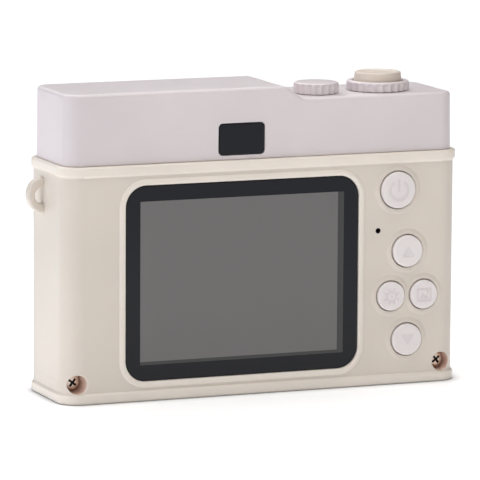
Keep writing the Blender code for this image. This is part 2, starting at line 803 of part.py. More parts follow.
def make_shutter(cap_material, steel, switch_material):
    flange_top = RING_NECK_END - GAP
    profile = (
        (1.4 * MM, SHUTTER_STEM_END),
        (1.4 * MM, flange_top - MM),
        (SHUTTER_FLANGE, flange_top - MM),
        (SHUTTER_FLANGE, flange_top),
        (SHUTTER_RADIUS, flange_top),
        (SHUTTER_RADIUS, RING_TOP - 0.2 * MM),
        (SHUTTER_TOP_RADIUS, SHUTTER_TOP - 0.35 * MM),
        (SHUTTER_TOP_RADIUS - 0.35 * MM, SHUTTER_TOP),
        (SHUTTER_TOP_RADIUS - 0.9 * MM, SHUTTER_TOP - 0.05 * MM),
        (1.5 * MM, SHUTTER_TOP - 0.2 * MM),
    )
    bm = bmesh.new()
    add_turned(bm, profile, RING_X, DIAL_Y, "Z", 28)
    make_object("shutter_button", bm, cap_material, (RING_X, DIAL_Y, LOW_TOP))
    make_shutter_spring(steel, TOP_BOARD_Z + BOARD_THICK + GAP, flange_top - MM - GAP)

    half = 2.1 * MM
    low = TOP_BOARD_Z + BOARD_THICK + GAP
    case_top = low + 1.2 * MM
    bm = bmesh.new()
    add_box(bm, (RING_X - half, DIAL_Y - half, low), (RING_X + half, DIAL_Y + half, case_top))
    switch = make_object("shutter_switch", bm, switch_material)

    def add_plunger(tool):
        add_prism_z(tool, circle(0.9 * MM, 12, RING_X, DIAL_Y), low + 0.5 * MM, case_top + 0.3 * MM)

    unite(switch, add_plunger)


def make_shutter_spring(material, low, high):
    """A round-wire compression spring, a helix of a small five-sided tube."""
    wire = 0.25 * MM
    mean = 3.6 * MM
    turns, steps_each, sides = 4.5, 12, 5
    steps = int(turns * steps_each)
    loops = []
    for i in range(steps + 1):
        angle = 2 * math.pi * i / steps_each
        height = low + wire + (high - low - 2 * wire) * i / steps
        loop = []
        for k in range(sides):
            turn = 2 * math.pi * k / sides
            reach = mean + wire * math.cos(turn)
            x = RING_X + reach * math.cos(angle)
            y = DIAL_Y + reach * math.sin(angle)
            loop.append((x, y, height + wire * math.sin(turn)))
        loops.append(loop)
    bm = bmesh.new()
    add_loft(bm, loops)
    make_object("shutter_spring", bm, material, (RING_X, DIAL_Y, low))


def make_top_board(material, steel):
    bm = bmesh.new()
    outline = rounded_rect(22.6 * MM, 12.0 * MM, 1.5 * MM, (POST_X[0] + POST_X[1]) / 2, DIAL_Y, 3)
    add_prism_z(bm, outline, TOP_BOARD_Z, TOP_BOARD_Z + BOARD_THICK)
    board = make_object("top_board", bm, material)

    def add_holes(tool):
        for x in POST_X:
            add_prism_z(tool, circle(0.95 * MM, 12, x, DIAL_Y), TOP_BOARD_Z - MM, TOP_BOARD_Z + 3 * MM)

    cut(board, add_holes)
    for number, x in enumerate(POST_X, 1):
        make_screw(f"top_board_screw_{number}", x, DIAL_Y, TOP_BOARD_Z - GAP, 1, "Z", 6.0 * MM, steel)


def make_screw(name, x, other, seat, direction, along, length, material):
    """A small pan-head screw; direction is the way that its shank points."""
    head = 1.5 * MM
    shank = 0.6 * MM
    top = seat - direction * 0.8 * MM
    tip = seat + direction * length
    profile = (
        (head - 0.35 * MM, top),
        (head, top + direction * 0.35 * MM),
        (head, seat),
        (shank, seat),
        (shank, tip - direction * 0.6 * MM),
        (shank * 0.4, tip),
    )
    bm = bmesh.new()
    add_turned(bm, profile, x, other, along, 12)
    make_object(name, bm, material)


# Inside the body.

def make_display(glass, steel_sheet, steel):
    module = rounded_rect(LCD_WIDTH, LCD_HEIGHT, 0.8 * MM, SCREEN_X, SCREEN_Z, 2)
    rear = REAR - WALL - GAP
    make_plate("lcd_module", module, rear - LCD_THICK, rear, glass)
    bm = bmesh.new()
    width = BRACKET_RIGHT - BRACKET_LEFT + 4.4 * MM
    frame = rounded_rect(width, 40.0 * MM, 2.0 * MM, (BRACKET_LEFT + BRACKET_RIGHT) / 2, SCREEN_Z, 3)
    add_prism_y(bm, frame, BRACKET_REAR - BRACKET_THICK, BRACKET_REAR)
    bracket = make_object("lcd_bracket", bm, steel_sheet)

    def add_openings(tool):
        outline = rounded_rect(44.0 * MM, 30.0 * MM, 2.0 * MM, SCREEN_X, SCREEN_Z, 3)
        add_prism_y(tool, outline, BRACKET_REAR - 2 * MM, BRACKET_REAR + MM)
        for x, z in BRACKET_POSTS:
            add_prism_y(tool, circle(0.85 * MM, 12, x, z), BRACKET_REAR - 2 * MM, BRACKET_REAR + MM)
        for x, z in BOARD_SCREWS:
            add_prism_y(tool, circle(2.1 * MM, 16, x, z), BRACKET_REAR - 2 * MM, BRACKET_REAR + MM)

    cut(bracket, add_openings)
    for number, (x, z) in enumerate(BRACKET_POSTS, 1):
        seat = BRACKET_REAR - BRACKET_THICK - 0.2 * MM
        make_screw(f"bracket_screw_{number}", x, z, seat, 1, "Y", 3.0 * MM, steel)


def make_main_board(green, steel):
    """The main board, with its processor and memory chips as raised blocks of the same piece."""
    rear = REAR - BOARD_REAR
    outline = rounded_rect(
        BOARD_RIGHT - BOARD_LEFT,
        BOARD_HIGH - BOARD_LOW,
        1.0 * MM,
        (BOARD_LEFT + BOARD_RIGHT) / 2,
        (BOARD_LOW + BOARD_HIGH) / 2,
        2,
    )
    bm = bmesh.new()
    add_prism_y(bm, outline, BOARD_FRONT, rear)
    board = make_object("main_board", bm, green)

    def add_chips(tool):
        processor = (-12.0 * MM, 36.0 * MM, 9.0 * MM, 9.0 * MM)
        memory = (-18.0 * MM, 44.0 * MM, 6.0 * MM, 5.0 * MM)
        for x, z, width, height in (processor, memory):
            low = (x - width / 2, BOARD_FRONT - 0.9 * MM, z - height / 2)
            high = (x + width / 2, BOARD_FRONT + 0.4 * MM, z + height / 2)
            add_box(tool, low, high)

    def add_holes(tool):
        for x, z in BOARD_SCREWS:
            add_prism_y(tool, circle(0.85 * MM, 12, x, z), BOARD_FRONT - MM, rear + MM)

    unite(board, add_chips)
    cut(board, add_holes)
    for number, (x, z) in enumerate(BOARD_SCREWS, 1):
        make_screw(f"board_screw_{number}", x, z, BOARD_FRONT - 0.2 * MM, 1, "Y", 3.2 * MM, steel)


def make_side_ports(steel, black):
    """The charging socket and the card slot, both open towards -X."""
    mouth = -BODY_WIDTH / 2 + 0.5 * MM
    bm = bmesh.new()
    shell = rounded_rect(USB_THICK, USB_LENGTH, 1.3 * MM, USB_Y, USB_Z, 3)
    add_loft(bm, [[(x, y, z) for y, z in shell] for x in (mouth, mouth + 7.4 * MM)])
    usb = make_object("usb_port", bm, steel)

    def add_usb_mouth(tool):
        bore = rounded_rect(USB_THICK - 0.7 * MM, USB_LENGTH - 0.7 * MM, 1.0 * MM, USB_Y, USB_Z, 3)
        add_loft(tool, [[(x, y, z) for y, z in bore] for x in (mouth - MM, mouth + 6.0 * MM)])

    def add_usb_tab(tool):
        low = (mouth + 1.2 * MM, USB_Y - 0.35 * MM, USB_Z - 3.2 * MM)
        high = (mouth + 6.6 * MM, USB_Y + 0.35 * MM, USB_Z + 3.2 * MM)
        add_box(tool, low, high)

    cut(usb, add_usb_mouth)
    unite(usb, add_usb_tab)

    card_mouth = -BODY_WIDTH / 2 + WALL + GAP
    low = (card_mouth, CARD_Y - CARD_THICK / 2, CARD_Z - CARD_LENGTH / 2)
    high = (card_mouth + 14.5 * MM, CARD_Y + CARD_THICK / 2, CARD_Z + CARD_LENGTH / 2)
    bm = bmesh.new()
    add_box(bm, low, high)
    card = make_object("card_slot", bm, black)

    def add_card_mouth(tool):
        low = (card_mouth - MM, CARD_Y - 0.45 * MM, CARD_Z - 5.7 * MM)
        high = (card_mouth + 12.5 * MM, CARD_Y + 0.45 * MM, CARD_Z + 5.7 * MM)
        add_box(tool, low, high)

    cut(card, add_card_mouth)


def make_sound(black):
    bm = bmesh.new()
    rear = REAR - WALL - GAP
    add_prism_y(bm, circle(2.0 * MM, 20, MIC_X, MIC_Z), rear - 1.5 * MM, rear)
    make_object("microphone", bm, black)
    face = FRONT + WALL + GAP
    profile = (
        (9.0 * MM, face),
        (10.0 * MM, face),
        (10.0 * MM, face + 1.6 * MM),
        (6.0 * MM, face + 2.4 * MM),
        (6.0 * MM, face + 3.8 * MM),
    )
    bm = bmesh.new()
    add_turned(bm, profile, SPEAKER_X, SPEAKER_Z, "Y", 20)
    make_object("speaker", bm, black)


def make_battery(material):
    bm = bmesh.new()
    outline = rounded_rect(25.0 * MM, 34.0 * MM, 2.0 * MM, 20.8 * MM, 27.0 * MM, 3)
    add_prism_y(bm, outline, BOARD_FRONT - 6.0 * MM, BOARD_FRONT - 0.6 * MM)
    make_object("battery", bm, material)


def make_camera_module(black, green, amber):
    face = FRONT + 1.2 * MM
    half = 4.6 * MM
    base = face + 4.0 * MM
    back = base + 2.2 * MM
    bm = bmesh.new()
    add_box(bm, (LENS_X - half, base, LENS_Z - half), (LENS_X + half, back, LENS_Z + half))
    module = make_object("camera_module", bm, black)

    def add_lens_tube(tool):
        profile = ((3.2 * MM, face), (3.9 * MM, face + 0.4 * MM), (3.9 * MM, base + 0.5 * MM))
        add_turned(tool, profile, LENS_X, LENS_Z, "Y", 24)

    unite(module, add_lens_tube)
    board_front = back + GAP
    bm = bmesh.new()
    outline = rounded_rect(14.0 * MM, 14.0 * MM, 1.0 * MM, LENS_X, LENS_Z, 2)
    add_prism_y(bm, outline, board_front, board_front + 0.8 * MM)
    make_object("camera_board", bm, green)
    make_camera_flex(board_front + 0.8 * MM + GAP, amber)


def make_camera_flex(start, material):
    """The ribbon cable that folds back from the camera board to the main board."""
    end = BOARD_FRONT - GAP
    thick = 0.2 * MM
    fold = (end - start) / 2
    centre_y = (start + end) / 2
    low = LENS_Z - 5.0 * MM
    arc = [math.pi / 2 - math.pi * i / 10 for i in range(11)]
    outer = [(centre_y - fold * math.sin(a), low - fold * math.cos(a)) for a in arc]
    bend = fold - thick
    inner = [(centre_y - bend * math.sin(a), low - bend * math.cos(a)) for a in reversed(arc)]
    top = LENS_Z + 4.0 * MM
    outline = [(start, top)] + outer + [(end, top - 2 * MM), (end - thick, top - 2 * MM)] + inner
    outline.append((start + thick, top))
    bm = bmesh.new()
    add_loft(bm, [[(x, y, z) for y, z in outline] for x in (LENS_X - 3 * MM, LENS_X + 3 * MM)])
    make_object("camera_flex", bm, material)


# Front.


def make_lens(barrel_material, trim_material, glass, steel):
    face = FRONT
    tip = FRONT - LENS_REACH
    outer = (
        (LENS_NECK, face + WALL + 1.8 * MM),
        (LENS_NECK, face - GAP),
        (LENS_OUTER, face - GAP),
        (LENS_OUTER, face - 2.2 * MM),
        (LENS_OUTER - 1.4 * MM, face - 2.6 * MM),
        (LENS_OUTER - 1.6 * MM, tip + 0.5 * MM),
        (LENS_OUTER - 2.1 * MM, tip),
        (LENS_BORE + 2.4 * MM, tip),
        (LENS_BORE + 2.4 * MM, tip + 1.0 * MM),
        (LENS_BORE, tip + 1.0 * MM),
        (LENS_BORE, tip + 2.6 * MM),
        (LENS_SEAT, tip + 2.6 * MM),
        (5.0 * MM, face + 0.4 * MM),
        (5.0 * MM, face + 0.9 * MM),
        (LENS_SEAT, face + WALL),
        (LENS_SEAT + 2 * MM, face + WALL + 1.8 * MM),
    )
    bm = bmesh.new()
    add_turned_ring(bm, outer, LENS_X, LENS_Z, "Y", 36)
    make_object("lens_barrel", bm, barrel_material)
    trim = (
        (LENS_BORE + 2.2 * MM, tip + 0.75 * MM),
        (LENS_BORE + 2.2 * MM, tip + 0.1 * MM),
        (LENS_BORE + 0.2 * MM, tip + 0.35 * MM),
        (LENS_BORE + 0.2 * MM, tip + 0.75 * MM),
    )
    bm = bmesh.new()
    add_turned_ring(bm, trim, LENS_X, LENS_Z, "Y", 36)
    make_object("lens_trim_ring", bm, trim_material)
    dome = [
        (LENS_BORE - 0.2 * MM, tip + 2.3 * MM),
        (LENS_BORE - 0.2 * MM, tip + 1.4 * MM),
        (LENS_BORE * 0.75, tip + 1.05 * MM),
        (LENS_BORE * 0.4, tip + 0.85 * MM),
        (1.5 * MM, tip + 0.78 * MM),
    ]
    bm = bmesh.new()
    add_turned(bm, dome, LENS_X, LENS_Z, "Y", 28)
    make_object("lens_cover", bm, glass)
    nut = (
        (15.0 * MM, face + WALL + GAP),
        (15.0 * MM, face + WALL + 1.5 * MM),
        (LENS_NECK + 0.2 * MM, face + WALL + 1.5 * MM),
        (LENS_NECK + 0.2 * MM, face + WALL + GAP),
    )
    bm = bmesh.new()
    add_turned_ring(bm, nut, LENS_X, LENS_Z, "Y", 24)
    make_object("lens_nut", bm, steel)


def make_flash_led(material):
    face = FRONT + HOUSING_INSET + HOUSING_WALL + GAP
    low = (FLASH_X - 2.2 * MM, face, FLASH_Z - 1.8 * MM)
    high = (FLASH_X + 2.2 * MM, face + 1.4 * MM, FLASH_Z + 1.8 * MM)
    bm = bmesh.new()
    add_box(bm, low, high)
    make_object("flash_led", bm, material)


def cross_builder(x, z, top):
    """The cross recess in a case screw's head."""
    arm = HEAD_RADIUS * 0.62
    half = HEAD_RADIUS * 0.16
    outline = []
    for quarter in range(4):
        c = math.cos(quarter * math.pi / 2)
        s = math.sin(quarter * math.pi / 2)
        for a, b in ((arm, -half), (arm, half), (half, half)):
            outline.append((x + a * c - b * s, z + a * s + b * c))

    def add_cross(bm):
        add_prism_y(bm, outline, top - 0.5 * MM, top + MM)

    return add_cross


def make_case_screws(steel):
    for name, x, depth in CASE_SCREWS:
        seat = REAR - depth + GAP
        profile = (
            (SHANK_RADIUS * 0.4, FRONT + 2.0 * MM),
            (SHANK_RADIUS, FRONT + 2.8 * MM),
            (SHANK_RADIUS, seat),
            (HEAD_RADIUS, seat),
            (HEAD_RADIUS, seat + HEAD_HEIGHT - 0.4 * MM),
            (HEAD_RADIUS - 0.4 * MM, seat + HEAD_HEIGHT),
        )
        bm = bmesh.new()
        add_turned(bm, profile, x, SCREW_Z, "Y", 20)
        screw = make_object(f"case_screw_{name}", bm, steel)
        cut(screw, cross_builder(x, SCREW_Z, seat + HEAD_HEIGHT))


def main():
    clear_scene()
    beige = make_material("beige_plastic", (0.66, 0.58, 0.51), 0.42)
    lilac = make_material("lilac_plastic", (0.62, 0.56, 0.60), 0.32)
    key_white = make_material("key_plastic", (0.72, 0.65, 0.67), 0.38)
    shutter_beige = make_material("shutter_plastic", (0.63, 0.54, 0.46), 0.45)
    gloss_black = make_material("window_black", (0.02, 0.021, 0.025), 0.12)
    clear = make_material("clear_plastic", (0.8, 0.8, 0.78), 0.1)
    glass = make_material("lens_glass", (0.03, 0.03, 0.05), 0.05)
    black = make_material("black_plastic", (0.025, 0.025, 0.027), 0.5)
    lcd = make_material("lcd_glass", (0.15, 0.15, 0.145), 0.2)
    green = make_material("circuit_board", (0.02, 0.16, 0.07), 0.4)
    steel = make_material("screw_steel", (0.62, 0.55, 0.48), 0.3, 1.0)
    sheet_steel = make_material("sheet_steel", (0.6, 0.6, 0.6), 0.35, 1.0)
    silver_foil = make_material("battery_foil", (0.55, 0.56, 0.58), 0.4, 0.6)
    amber = make_material("flex_film", (0.5, 0.22, 0.03), 0.35)
    led = make_material("led_phosphor", (0.8, 0.7, 0.2), 0.4)

    make_rear_shell(beige)
    make_front_shell(beige)
    make_top_housing(lilac)
    make_windows(gloss_black, clear)
    make_viewfinder_tube(black)
    make_keys(key_white, black)
    make_small_dial(lilac, steel)
    make_shutter_ring(lilac, steel)
    make_shutter(shutter_beige, steel, black)
    make_top_board(green, steel)
    make_display(lcd, sheet_steel, steel)
    make_main_board(green, steel)
    make_side_ports(sheet_steel, black)
    make_sound(black)
    make_battery(silver_foil)
    make_camera_module(black, green, amber)
    make_lens(beige, lilac, glass, black)
    make_flash_led(led)
    make_case_screws(steel)


main()
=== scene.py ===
"""Looks of a kids digital camera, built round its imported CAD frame: fine meshes, plastics, light, camera.

Meshes are built in millimetres, in the CAD's axes, and become metres when they are made pieces. The rear,
with the screen, looks along +Y, and the lens along -Y.
"""

import math

import bmesh
import bpy
from mathutils import Matrix, Vector


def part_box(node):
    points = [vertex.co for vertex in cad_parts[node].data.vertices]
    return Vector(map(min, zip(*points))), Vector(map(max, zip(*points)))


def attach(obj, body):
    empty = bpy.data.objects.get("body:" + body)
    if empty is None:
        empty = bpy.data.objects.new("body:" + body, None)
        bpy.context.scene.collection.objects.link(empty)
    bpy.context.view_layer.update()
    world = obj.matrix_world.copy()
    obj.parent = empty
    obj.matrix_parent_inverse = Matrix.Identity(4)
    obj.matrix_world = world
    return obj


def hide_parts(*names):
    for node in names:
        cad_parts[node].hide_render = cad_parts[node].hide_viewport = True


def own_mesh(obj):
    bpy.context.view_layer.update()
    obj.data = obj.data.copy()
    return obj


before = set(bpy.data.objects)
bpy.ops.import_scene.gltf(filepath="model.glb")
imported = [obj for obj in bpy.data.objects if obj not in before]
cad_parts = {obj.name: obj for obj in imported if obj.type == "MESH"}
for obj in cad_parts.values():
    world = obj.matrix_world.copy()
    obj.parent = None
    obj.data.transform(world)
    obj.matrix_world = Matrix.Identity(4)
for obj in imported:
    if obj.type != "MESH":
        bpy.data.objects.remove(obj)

METRE = 1000.0
SCENE = bpy.context.scene
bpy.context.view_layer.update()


def corners(node):
    """A CAD node's lowest and highest corners, in millimetres."""
    low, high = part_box(node)
    return low * METRE, high * METRE


def centre(node):
    low, high = corners(node)
    return (low + high) / 2


def spans(node):
    """A CAD node's width, height and thickness: its spans along X, Z and Y."""
    low, high = corners(node)
    return high.x - low.x, high.z - low.z, high.y - low.y


# Sizes in millimetres. Places come from the frame.

GAP = 0.3
WALL = 2.0
SEAM = 0.07
RIM_PROUD = 0.5
RIM_HEIGHT = 2.35
BODY_RADIUS = 4.45
FRONT_SHELL_LOW, FRONT_SHELL_HIGH = corners("front_shell")
HALF_WIDTH = FRONT_SHELL_HIGH.x - RIM_PROUD
BODY_TOP = FRONT_SHELL_HIGH.z
FRONT = FRONT_SHELL_LOW.y + RIM_PROUD
PARTING = FRONT_SHELL_HIGH.y + GAP / 2
REAR = corners("screen_window")[1].y
MIDDLE = (FRONT + REAR) / 2

HOUSING_HIGH = corners("top_housing")[1]
HOUSING_RADIUS = 3.7
HOUSING_WALL = 1.8
HOUSING_BASE = BODY_TOP + GAP
HOUSING_EDGE = 0.85
HOUSING_DRAFT = 0.2
TALL_TOP = HOUSING_HIGH.z
LOW_TOP = TALL_TOP - 2.9
SLOPE_START_X = -5.2
SLOPE_END_X = -9.5
SLOPE_BLEND = 0.7
TONGUE_DEPTH = 3.2
TONGUE_WALL = 1.4
LEDGE = 1.5

SCREEN = centre("screen_window")
SCREEN_WIDTH, SCREEN_HEIGHT, SCREEN_THICK = spans("screen_window")
SCREEN_RADIUS = 4.8
SCREEN_BORDER = 2.6
DISPLAY_WIDTH = 49.0
DISPLAY_HEIGHT = 36.75
DISPLAY_STRIP = 1.5
DISPLAY_FOOT = 0.75
LIP_FOOT = 1.8
LIP_PROUD = 0.42

KEY_NAMES = ("power", "up", "settings", "gallery", "down")
KEY_FLANGE = 0.45
KEY_GAP = 0.22
KEY_PROUD = 1.0
KEY_STEM_END = 3.9
COLLAR_WIDTH = 1.15
COLLAR_PROUD = 0.28
ICON_DEPTH = 0.12

CASE_SCREWS = ("case_screw_left", "case_screw_right")
WELL_RADIUS = 2.15
WELL_MOUTH = 0.35
SEAT_GAP = 0.3
HEAD_RADIUS = 1.6
HEAD_HEIGHT = 1.2
SHANK_RADIUS = 0.85
BOSS_RADIUS = 3.2
BOSS_SHORT = 4.5
BOSS_FLAT_X = 45.8
POST_RADIUS = 1.7
HOUSING_POST_RADIUS = 1.8
POST_BORE = 0.75
MICROPHONE_BORE = 0.58
SPEAKER_BORE = 0.5

LUG_REACH = 3.7
LUG_HALF_HEIGHT = 4.1
LUG_Z = 45.3
LUG_REAR = REAR - 13.5
LUG_THICK = 2.8
LUG_HOLE_REACH = 2.0
LUG_HOLE_HALF_HEIGHT = 1.9

DIAL = centre("small_dial")
RING = centre("shutter_ring")
SMALL_RADIUS = 5.1
SMALL_TOP = corners("small_dial")[1].z
RING_RADIUS = 7.2
RING_TOP = corners("shutter_ring")[1].z
RING_BORE = 5.8
RING_NECK = 6.5
RING_NECK_END = corners("shutter_ring")[0].z
SHUTTER_TOP = corners("shutter_button")[1].z
SHUTTER_STEM_END = corners("shutter_button")[0].z
SHUTTER_RADIUS = 5.5
SHUTTER_TOP_RADIUS = 5.2
SHUTTER_FLANGE = 6.3
SPINDLE_RADIUS = 1.5
FLUTE_DEPTH = 0.45
DIAL_FOOT = LOW_TOP + 0.12
CLIP_GROOVE_TOP = LOW_TOP - HOUSING_WALL - GAP
CLIP_GROOVE_FOOT = CLIP_GROOVE_TOP - 0.7

LENS = centre("lens_barrel")
LENS_TIP = corners("lens_barrel")[0].y
LENS_OUTER = 17.0
LENS_NECK = 12.7
LENS_BORE = 10.8
LENS_SEAT = 9.0
BAFFLE_END = 5.0
GRIP_GROOVES = 60

ROUND = 72
CORNER_STEPS = 16
SHARP_ANGLE = math.radians(38)


# Outlines: lists of (u, v).


def circle(radius, steps=ROUND, u=0.0, v=0.0):
    turn = math.tau / steps
    return [(u + radius * math.cos(i * turn), v + radius * math.sin(i * turn)) for i in range(steps)]


def ribbed(radius, depth, ribs, steps_each):
    """A round outline with narrow rounded ribs and wider hollows between them."""
    points = []
    for i in range(ribs * steps_each):
        angle = math.tau * i / (ribs * steps_each)
        hollow = (0.5 - 0.5 * math.cos(angle * ribs)) ** 0.65
        reach = radius - depth * hollow
        points.append((reach * math.cos(angle), reach * math.sin(angle)))
    return points


def rounded_rect(width, height, radius, u=0.0, v=0.0, steps=CORNER_STEPS):
    points = []
    for quarter, (su, sv) in enumerate(((1, 1), (-1, 1), (-1, -1), (1, -1))):
        cu, cv = u + su * (width / 2 - radius), v + sv * (height / 2 - radius)
        for i in range(steps + 1):
            angle = math.pi / 2 * (quarter + i / steps)
            points.append((cu + radius * math.cos(angle), cv + radius * math.sin(angle)))
    return points


def rounded_path(path, steps=6):
    """An open line through (a, b, radius), with an arc of that radius at each corner that has one."""
    points = []
    for i, (a, b, radius) in enumerate(path):
        here = Vector((a, b))
        if not radius:
            points.append((a, b))
            continue
        back = (Vector(path[i - 1][:2]) - here).normalized()
        ahead = (Vector(path[i + 1][:2]) - here).normalized()
        half = back.angle(ahead) / 2
        middle = here + (back + ahead).normalized() * radius / math.sin(half)
        start = here + back * radius / math.tan(half) - middle
        end = here + ahead * radius / math.tan(half) - middle
        swing = start.angle(end)
        for k in range(steps + 1):
            t = k / steps
            arm = (start * math.sin((1 - t) * swing) + end * math.sin(t * swing)) / math.sin(swing)
            points.append(tuple(middle + arm))
    return points


def body_plan(offset):
    """The body's outline from above, moved out by offset."""
    depth = REAR - FRONT
    return rounded_rect(2 * (HALF_WIDTH + offset), depth + 2 * offset, BODY_RADIUS + offset, 0.0, MIDDLE)


def screen_plan(offset):
    """The window's outline from behind, moved out by offset."""
    return rounded_rect(SCREEN_WIDTH + 2 * offset, SCREEN_HEIGHT + 2 * offset, SCREEN_RADIUS + offset)


# Shapes: bmeshes of closed bodies, and the temporary objects made from them.


def loft(levels, ring=False):
    """Joins (outline, height) levels in order, and closes the ends with caps or, as a ring, together."""
    bm = bmesh.new()
    rows = [[bm.verts.new((u, v, height)) for u, v in outline] for outline, height in levels]
    join_rows(bm, rows, ring)
    return bm


def join_rows(bm, rows, ring=False):
    if not ring:
        bm.faces.new(reversed(rows[0]))
        bm.faces.new(rows[-1])
    join_sides(bm, rows + rows[:1] if ring else rows)


def join_sides(bm, rows):
    """Fills each pair of neighbouring rows, which are closed loops of vertices, with quads."""
    count = len(rows[0])
    for lower, upper in zip(rows, rows[1:]):
        for i in range(count):
            j = (i + 1) % count
            bm.faces.new((lower[i], lower[j], upper[j], upper[i]))


def turned(profile, steps=ROUND, ring=False):
    """Turns (radius, height) points about Z."""
    return loft([(circle(radius, steps), height) for radius, height in profile], ring)


def prism(outline, low, high):
    return loft([(outline, low), (outline, high)])


def block(low, high):
    outline = ((low[0], low[1]), (high[0], low[1]), (high[0], high[1]), (low[0], high[1]))
    return prism(outline, low[2], high[2])


def on_rear(x, z, y=REAR):
    """Places a shape on the rear: its u runs to the viewer's right, v up and height out along +Y."""
    return Matrix(((-1, 0, 0, x), (0, 0, 1, y), (0, 1, 0, z), (0, 0, 0, 1)))


def on_front(x, z, y=FRONT):
    """Places a shape on the front: u runs to the viewer's right, v up and height out along -Y."""
    return Matrix(((1, 0, 0, x), (0, 0, -1, y), (0, 1, 0, z), (0, 0, 0, 1)))


def on_side(y, z, x):
    """Places a shape on the -X side: u runs along -Y, v up and height out along -X."""
    return Matrix(((0, 0, -1, x), (-1, 0, 0, y), (0, 1, 0, z), (0, 0, 0, 1)))


def at(x, y, z=0.0):
    return Matrix.Translation((x, y, z))


def solid(bm, place=Matrix()):
    """A temporary object from a bmesh, which is used up."""
    bm.transform(place)
    bmesh.ops.recalc_face_normals(bm, faces=bm.faces)
    mesh = bpy.data.meshes.new("shape")
    bm.to_mesh(mesh)
    bm.free()
    obj = bpy.data.objects.new("shape", mesh)
    SCENE.collection.objects.link(obj)
    return obj


def carve(obj, operation, tools):
    """Applies one exact Boolean for each tool, and removes the tools."""
    for tool in tools:
        modifier = obj.modifiers.new("Carve", "BOOLEAN")
        modifier.operation = operation
        modifier.solver = "EXACT"
        modifier.object = tool
    graph = bpy.context.evaluated_depsgraph_get()
    obj.data = bpy.data.meshes.new_from_object(obj.evaluated_get(graph))
    obj.modifiers.clear()
    for tool in tools:
        bpy.data.objects.remove(tool, do_unlink=True)
    return obj


def cut(obj, *tools):
    return carve(obj, "DIFFERENCE", tools)


def add(obj, *tools):
    return carve(obj, "UNION", tools)


def piece(obj, name, body, nodes, slot, materials):
    """Makes a temporary object a finished piece, in metres, with its materials and its place in the frame."""
    obj.name = name
    obj.data.name = name
    obj.data.transform(Matrix.Scale(1 / METRE, 4))
    obj.data.shade_smooth()
    obj.data.set_sharp_from_angle(angle=SHARP_ANGLE)
    indices = [face.material_index for face in obj.data.polygons]
    obj.data.materials.clear()
    for material in materials:
        obj.data.materials.append(material)
    for face, index in zip(obj.data.polygons, indices):
        face.material_index = min(index, len(materials) - 1)
    weights = obj.modifiers.new("Weighted normals", "WEIGHTED_NORMAL")
    weights.keep_sharp = True
    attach(obj, body)
    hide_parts(*nodes)


# Materials.


class Nodes:
    """A material's node tree, with short ways to add what the materials here share."""

    def __init__(self, name):
        self.material = bpy.data.materials.new(name)
        self.material.use_nodes = True
        self.tree = self.material.node_tree
        self.shader = self.tree.nodes["Principled BSDF"]
        self.place = self.tree.nodes.new("ShaderNodeTexCoord").outputs["Object"]

    def link(self, source, target):
        self.tree.links.new(source, target)

    def noise(self, scale, detail=2.0, stretch=(1.0, 1.0, 1.0)):
        """Noise over the object's own coordinates, scale in features to a metre."""
        mapping = self.tree.nodes.new("ShaderNodeMapping")
        mapping.inputs["Scale"].default_value = stretch
        self.link(self.place, mapping.inputs["Vector"])
        node = self.tree.nodes.new("ShaderNodeTexNoise")
        node.inputs["Scale"].default_value = scale
        node.inputs["Detail"].default_value = detail
        self.link(mapping.outputs["Vector"], node.inputs["Vector"])
        return node.outputs["Fac"]

    def spread(self, source, low, high, target, start=0.35, end=0.65):
        """Maps a texture to the range low to high of a number or colour socket."""
        if isinstance(low, tuple):
            node = self.tree.nodes.new("ShaderNodeValToRGB")
            first, last = node.color_ramp.elements
            first.position, last.position = start, end
            first.color, last.color = (*low, 1.0), (*high, 1.0)
            self.link(source, node.inputs["Fac"])
            self.link(node.outputs["Color"], target)
            return
        node = self.tree.nodes.new("ShaderNodeMapRange")
        for key, value in (("From Min", start), ("From Max", end), ("To Min", low), ("To Max", high)):
            node.inputs[key].default_value = value
        self.link(source, node.inputs["Value"])
        self.link(node.outputs["Result"], target)

    def bump(self, source, strength, distance):
        node = self.tree.nodes.new("ShaderNodeBump")
        node.inputs["Strength"].default_value = strength
        node.inputs["Distance"].default_value = distance
        self.link(source, node.inputs["Height"])
        self.link(node.outputs["Normal"], self.shader.inputs["Normal"])


def tint(colour, amount):
    return tuple(c * amount for c in colour)


def plastic(name, colour, roughness, glow=0.08):
    """Moulded plastic: a faint drift of shade, uneven gloss and a fine spark-eroded grain."""
    nodes = Nodes(name)
    inputs = nodes.shader.inputs
    nodes.spread(nodes.noise(45.0), tint(colour, 0.975), tint(colour, 1.02), inputs["Base Color"])
    nodes.spread(nodes.noise(700.0), roughness - 0.03, roughness + 0.04, inputs["Roughness"])
    nodes.bump(nodes.noise(5200.0, 3.0), 0.25, 0.000012)
    inputs["Subsurface Weight"].default_value = glow
    inputs["Subsurface Radius"].default_value = (1.0, 0.72, 0.55)
    inputs["Subsurface Scale"].default_value = 0.0015
    return nodes.material


def glossy(name, colour, roughness, level=0.35, coat=0.0):
    """Polished or printed glass, with the faint waviness of a moulded window."""
    nodes = Nodes(name)
    inputs = nodes.shader.inputs
    nodes.spread(nodes.noise(60.0), tint(colour, 0.99), tint(colour, 1.01), inputs["Base Color"])
    nodes.spread(nodes.noise(900.0), roughness, roughness + 0.02, inputs["Roughness"])
    nodes.bump(nodes.noise(35.0), 0.05, 0.00002)
    inputs["Specular IOR Level"].default_value = level
    inputs["Coat Weight"].default_value = coat
    inputs["Coat Roughness"].default_value = 0.03
    return nodes.material


